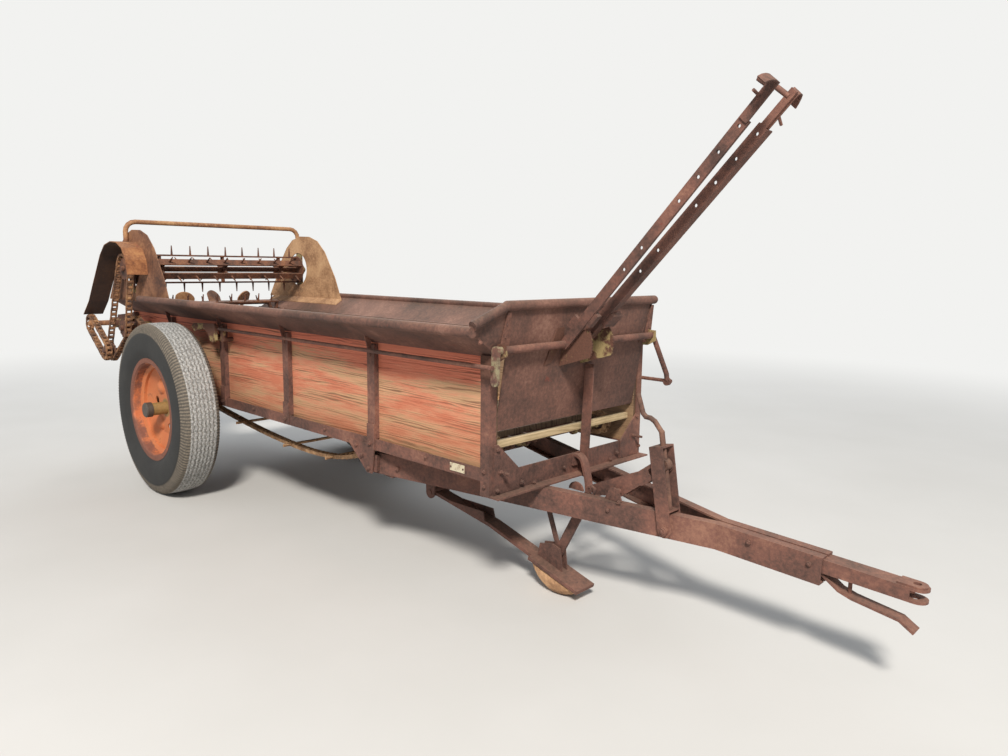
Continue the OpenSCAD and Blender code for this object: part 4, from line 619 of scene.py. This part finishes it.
def chain_along(path, y, pitch=33, width=36, half=6.5):
    """Links from point to point of the path (x, z) in the plane y, set by turns 0.5 mm to each side."""
    ends = evenly(path, pitch)
    ahead = np.roll(ends, -1, 0) - ends
    step = np.linalg.norm(ahead, axis=1)
    along = ahead / step[:, None]
    verts, faces = chain_link(step.mean(), width, half)
    x = ends[:, None, 0] + verts[None, :, 0] * along[:, None, 0] - verts[None, :, 2] * along[:, None, 1]
    z = ends[:, None, 1] + verts[None, :, 0] * along[:, None, 1] + verts[None, :, 2] * along[:, None, 0]
    jog = 0.5 * (-1) ** np.arange(len(ends))
    points = np.stack([x, y + verts[None, :, 1] + jog[:, None] + 0 * x, z], 2).reshape(-1, 3)
    polys = [[i + k * len(verts) for i in f] for k in range(len(ends)) for f in faces]
    return points, polys


def tangent(c, d):
    """Angle at which an open belt leaves wheel c (x, z, radius) towards wheel d."""
    gap = math.hypot(d[0] - c[0], d[1] - c[1])
    return math.atan2(d[1] - c[1], d[0] - c[0]) - math.pi / 2 + math.asin((d[2] - c[2]) / gap)


def belt(wheels, steps=24):
    """Centre line of a chain round its wheels: the arc on each between its two tangent points."""
    line = []
    for k, c in enumerate(wheels):
        start = tangent(wheels[k - 1], c)
        sweep = (tangent(c, wheels[(k + 1) % len(wheels)]) - start) % (2 * math.pi)
        a = start + sweep * np.linspace(0, 1, steps)
        line.append(np.stack([c[0] + c[2] * np.cos(a), c[1] + c[2] * np.sin(a)], 1))
    return np.concatenate(line)


chain_iron = rusted_steel("malleable_chain_rust", ("#32231c", "#5f4230", "#8a6040", "#b38d63"),
                          "#5a3a2a", 0.0, patch_mm=60, pit_depth=0.0008)
# Shaft centres (x, z); each run lists its sprockets as (x, z, radius), and then the chain's y
AXLE, UPPER, MAIN, LOW, REAR = (0, 465), (-665, 1209), (-740, 850), (-945, 695), (-1185, 852)
chain_runs = {"axle_chain": ([(*AXLE, 96), (*MAIN, 62)], -530),
              "beater_chain": ([(*UPPER, 84), (*LOW, 58), (*MAIN, 72)], -610),
              "distributor_chain": ([(*LOW, 52), (*REAR, 52)], -650)}
for node, (wheels, y) in chain_runs.items():
    points, faces = chain_along(belt(wheels), y)
    links = new_piece(f"{node}_links", on_the_machine(points), faces, chain_iron, "root")
    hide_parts(node)


# Apron: two chains with slats that drag the load back over the floor.
# Angle-iron slats are riveted to every eighth link of two detachable chains; the return run hangs
# slack under the box, where it shows in front of the wheel.
FRONT_SHAFT, REAR_SHAFT, FLOOR_CHAIN = (2175, 577), (-470, 561), 618.3
CHAIN_Y, SLAT_HALF = 340, 395


def half_turn(centre, radius, start, steps):
    """Points (x, z) of half a turn backwards round a roller, from the angle start."""
    return [(centre[0] + radius * math.cos(a), centre[1] + radius * math.sin(a))
            for a in np.linspace(start, start - math.pi, steps)]


slack = np.array([(2175, 535.7), (1700, 498), (1540, 484), (1270, 372), (950, 333), (500, 352),
                  (0, 405), (-250, 448), (-470, 503.7)], float)


def hanging(points, steps=8):
    """Smooth Catmull-Rom curve through points: from b to c, with a before and d after, it is half of
    2b + (c - a) t + (2a - 5b + 4c - d) t^2 + (3b - a - 3c + d) t^3."""
    held = np.concatenate([[2 * points[0] - points[1]], points, [2 * points[-1] - points[-2]]])
    t = np.arange(steps)[:, None] / steps
    runs = []
    for a, b, c, d in zip(held, held[1:], held[2:], held[3:]):
        runs.append(0.5 * (2 * b + (c - a) * t + (2 * a - 5 * b + 4 * c - d) * t ** 2
                           + (3 * b - a - 3 * c + d) * t ** 3))
    return np.concatenate(runs + [points[-1:]])


low_run = hanging(slack)
run = np.concatenate([[(800, FLOOR_CHAIN)], half_turn(FRONT_SHAFT, 41.3, math.pi / 2, 13), low_run[1:-1],
                      half_turn(REAR_SHAFT, 57.3, -math.pi / 2, 15), [(798, FLOOR_CHAIN)]])
slats = []
for x in range(-410, 2175, 290):
    slats.append(block((x, -SLAT_HALF, 613.5), (x + 22, SLAT_HALF, 617)))
    slats.append(block((x, -SLAT_HALF, 617), (x + 3.5, SLAT_HALF, 629)))
for k in range(4, len(low_run) - 4, 8):
    x, z = low_run[k]
    slats.append(block((x, -SLAT_HALF, z + 3), (x + 22, SLAT_HALF, z + 6.5)))
    slats.append(block((x, -SLAT_HALF, z - 8), (x + 3.5, SLAT_HALF, z + 3)))
points, faces = joined([chain_along(run, y, 36, 34, 8.5) for y in (-CHAIN_Y, CHAIN_Y)] + slats)
apron_iron = rusted_steel("malleable_chain_dusty_rust", ("#5f4634", "#8c6a4c", "#b18a64", "#cdaa80"),
                          "#5a3a2a", 0.0, patch_mm=60, pit_depth=0.0008)
apron = new_piece("apron_chains_and_slats", on_the_machine(points), faces, apron_iron, "root")
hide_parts("apron")


# Bolts and rivets.
# Square-shouldered coach bolts with hexagon nuts over round washers, each rusted to its plate.
def bolt_head(size):
    """Washer, hexagon nut and the bolt's rounded end on the z = 0 plane. Each is three rings, given as
    (radius, height) in shares of size."""
    washer = (12, ((1.15, 0), (1.15, 0.16), (0.6, 0.2)))
    nut = (6, ((0.88, 0.16), (0.88, 0.78), (0.74, 0.92)))
    bolt_end = (8, ((0.42, 0.8), (0.42, 1.16), (0.3, 1.28)))
    parts = []
    for sides, rings in (washer, nut, bolt_end):
        a = np.arange(sides) * 2 * np.pi / sides
        verts = np.concatenate([np.stack([size * r * np.cos(a), size * r * np.sin(a), 0 * a + size * h], 1)
                                for r, h in rings])
        faces = [(m * sides + k, m * sides + (k + 1) % sides, (m + 1) * sides + (k + 1) % sides,
                  (m + 1) * sides + k) for m in range(2) for k in range(sides)]
        parts.append((verts, faces + [tuple(range(2 * sides, 3 * sides)), tuple(range(sides - 1, -1, -1))]))
    return joined(parts)


def bolts(places):
    """Heads at rows (x, y, z, towards, size): each head's own axis is turned to point towards."""
    parts = []
    for x, y, z, towards, size in places:
        verts, faces = bolt_head(size)
        turn = Vector((0, 0, 1)).rotation_difference(Vector(towards)).to_matrix()
        spin = Matrix.Rotation((x * 0.37 + z * 0.11) % 1.0, 3, "Z")
        parts.append((verts @ np.array(turn @ spin).T + (x, y, z), faces))
    return joined(parts)


OUT, IN, AHEAD, UP = (0, -1, 0), (0, 1, 0), (1, 0, 0), (0, 0, 1)
ALONG_TONGUE = (0.284, -0.959, 0)
PANEL_FOOT, PANEL_LOW, PANEL_LEAN = 2280, 665, 0.169
SILL_FACE, GUSSET_FACE, PLATE_FACE, CROSS_FACE = 472, 478, 474.3, 2304


def on_panel(z):
    """x of the leaning front panel at height z."""
    return PANEL_FOOT + (z - PANEL_LOW) * PANEL_LEAN


rows = []
for s, out in ((-1, OUT), (1, IN)):
    for x in (-940, -380, 270, 920, 1600):
        rows += [(x, s * GUSSET_FACE, 514, out, 11), (x, s * SILL_FACE, 900, out, 8)]
    rows += [(x, s * SILL_FACE, 516, out, 8) for x in (-660, -60, 600, 1250, 1950)]
    rows += [(x, s * GUSSET_FACE, z, out, size)
             for x, z, size in ((1540, 452, 11), (1588, 404, 10), (1500, 490, 10))]
    rows += [(2276, s * SILL_FACE, z, out, 9) for z in (470, 898)]
    rows.append((2275, s * SILL_FACE, 525, out, 9))
rows += [(x, -PLATE_FACE, 512, OUT, 3.4) for x in (2098, 2164)]
rows += [(CROSS_FACE, y, z, AHEAD, size) for y, z, size in (
    (-437, 605, 9), (-439, 455, 10), (-307, 460, 10), (-239, 446, 8), (431, 610, 9), (453, 474, 9),
    (291, 470, 9), (249, 447, 8), (60, 476, 8), (-60, 470, 7))]
rows += [(2586, -150, 383, ALONG_TONGUE, 9), (2625, -139, 415, UP, 9), (3077, -41, 366, OUT, 10),
         (3277, -41, 352, OUT, 10), (3077, 41, 366, IN, 10), (3277, 41, 352, IN, 10),
         (2800, -115, 352, OUT, 15), (1700, -413, 410, ALONG_TONGUE, 11)]
rows += [(on_panel(z), y, z, (1, 0, -PANEL_LEAN), 8)
         for y, z in ((-448, 970), (-447, 1012), (-446, 1055), (448, 1000), (447, 1045), (-560, 1000))]
points, faces = bolts(rows)
new_piece("frame_bolts", on_the_machine(points), faces, frame_rust, "root")


# Lever ends: bent hooks and release pins.
# The flat strap at each lever's end is bent over into a hook, and round pins below it move the pawl.
# Both are forged from mild steel bar and riveted to the lever.
def bent_strap(path, side, half, thick):
    """Flat bar along a path of points: at each one, four corners at +-half along side and +-thick / 2
    along the normal, which is the cross product of the path's direction and side."""
    path, side = np.asarray(path, float), np.asarray(side, float)
    ahead = np.gradient(path, axis=0)
    normal = np.cross(ahead, side)
    normal *= thick / 2 / np.linalg.norm(normal, axis=1)[:, None]
    ring = np.stack([path + side * half + normal, path - side * half + normal,
                     path - side * half - normal, path + side * half - normal], 1)
    last = 4 * len(path) - 4
    faces = [(4 * k + (m + 1) % 4, 4 * k + 4 + (m + 1) % 4, 4 * k + 4 + m, 4 * k + m)
             for k in range(len(path) - 1) for m in range(4)]
    return ring.reshape(-1, 3), faces + [(3, 2, 1, 0), (last, last + 1, last + 2, last + 3)]


def round_rod(a, b, radius, sides=10):
    """Rod from a to b with closed ends: at each, a ring radius (across cos t + other sin t) about the
    axis, where across and other are square to it."""
    ahead = (Vector(b) - Vector(a)).normalized()
    across = ahead.orthogonal().normalized()
    t = np.arange(sides)[:, None] * 2 * math.pi / sides
    ring = radius * (np.cos(t) * np.array(across) + np.sin(t) * np.array(ahead.cross(across)))
    faces = [(k, (k + 1) % sides, sides + (k + 1) % sides, sides + k) for k in range(sides)]
    return (np.concatenate([ring + np.asarray(a, float), ring + np.asarray(b, float)]),
            faces + [tuple(range(sides - 1, -1, -1)), tuple(range(sides, 2 * sides))])


TORQUE_X, TORQUE_Z = 2356, 968


def on_lever(angle, points):
    """Lever points (along, y, up) turned by its angle about the torque rod."""
    c, s = math.cos(math.radians(angle)), math.sin(math.radians(angle))
    along, y, up = np.transpose(points)
    return np.stack([TORQUE_X + along * c - up * s, y, TORQUE_Z + along * s + up * c], 1)


# Lever's angle; the hook's path (along, y); the pin's two ends (along, y, up)
hooks = {"right": (47.3, [(985, -146), (1108, -146), (1118, -148), (1124, -155), (1125, -168),
                          (1123, -186), (1117, -203), (1108, -214)], ((1062, -137, 4), (1070, -176, 20))),
         "left": (46.2, [(985, -39), (1108, -39), (1119, -36), (1124, -28), (1122, -17), (1112, -8),
                         (1096, 2), (1080, 9)], ((1048, -46, -4), (1024, -14, -26)))}
for side, (angle, bend, pin) in hooks.items():
    up = (-math.sin(math.radians(angle)), 0, math.cos(math.radians(angle)))
    points, faces = joined([bent_strap(on_lever(angle, [(u, y, 0) for u, y in bend]), up, 16, 5),
                            round_rod(*on_lever(angle, pin), 5)])
    new_piece(f"lever_hook_{side}", on_the_machine(points), faces, frame_rust, f"{side}_lever")


# Front frame: long studs, the swept strap to the tongue and the panel's edge straps.
# Two threaded studs stand out from the gussets with their nuts halfway down. The straps are bent or
# sheared from rolled flat bar, bolted on and rusted brown.
studs = []
for y, z in ((-422, 520), (410, 527)):
    studs += [round_rod((2300, y, z), (2352, y, z), 5), bolts([(CROSS_FACE, y, z, AHEAD, 10)]),
              bolts([(2330, y, z, AHEAD, 9)])]
points, faces = joined(studs)
new_piece("gusset_studs", on_the_machine(points), faces, frame_rust, "root")
# The strap from the cross angle to the tongue is bent in one sweep, and a round ear holds its foot
sweep = hanging(np.array([(2305, 468), (2307, 506), (2325, 511), (2347, 494), (2362, 452), (2373, 410),
                          (2376, 366)], float))
strap = bent_strap([(x, 11, z) for x, z in sweep], (0, 1, 0), 19, 10)
ear_angle = np.linspace(0, math.pi, 13)
ear = [(2336 + 36 * math.cos(a), y, 378 + 32 * math.sin(a)) for y in (-22, -15) for a in ear_angle]
rim = [(k + 13, k + 14, k + 1, k) for k in range(12)] + [(25, 13, 0, 12)]
points, faces = joined([strap, (ear, rim + [tuple(range(13)), tuple(range(25, 12, -1))])])
new_piece("swept_strap_and_ear", on_the_machine(points), faces, frame_rust, "root")
# Tapered straps up the panel's two edges, in front of the thin ones that belong to the panel
edge_straps = []
for s in (-1, 1):
    outline = [(938, 470), (938, 418), (1098, 432), (1098, 449)]
    face = [(on_panel(z) + 3.4, s * y, z) for z, y in outline]
    back = [(x + 4, y, z) for x, y, z in face]
    turns = [(0, 1, 2, 3), (7, 6, 5, 4)] + [(k, k + 4, (k + 1) % 4 + 4, (k + 1) % 4) for k in range(4)]
    edge_straps.append((face + back, turns if s > 0 else [f[::-1] for f in turns]))
points, faces = joined(edge_straps)
# The straps' rust is a lighter copy of the sheet rust: painted sunlight on the straps, against the panel
new_piece("panel_edge_straps", on_the_machine(points), faces,
          rusted_steel("strap_rust_painted_sunlit", ("#432c25", "#684539", "#805849", "#9a7362"), "#6e3a2e", 0.0),
          "root")
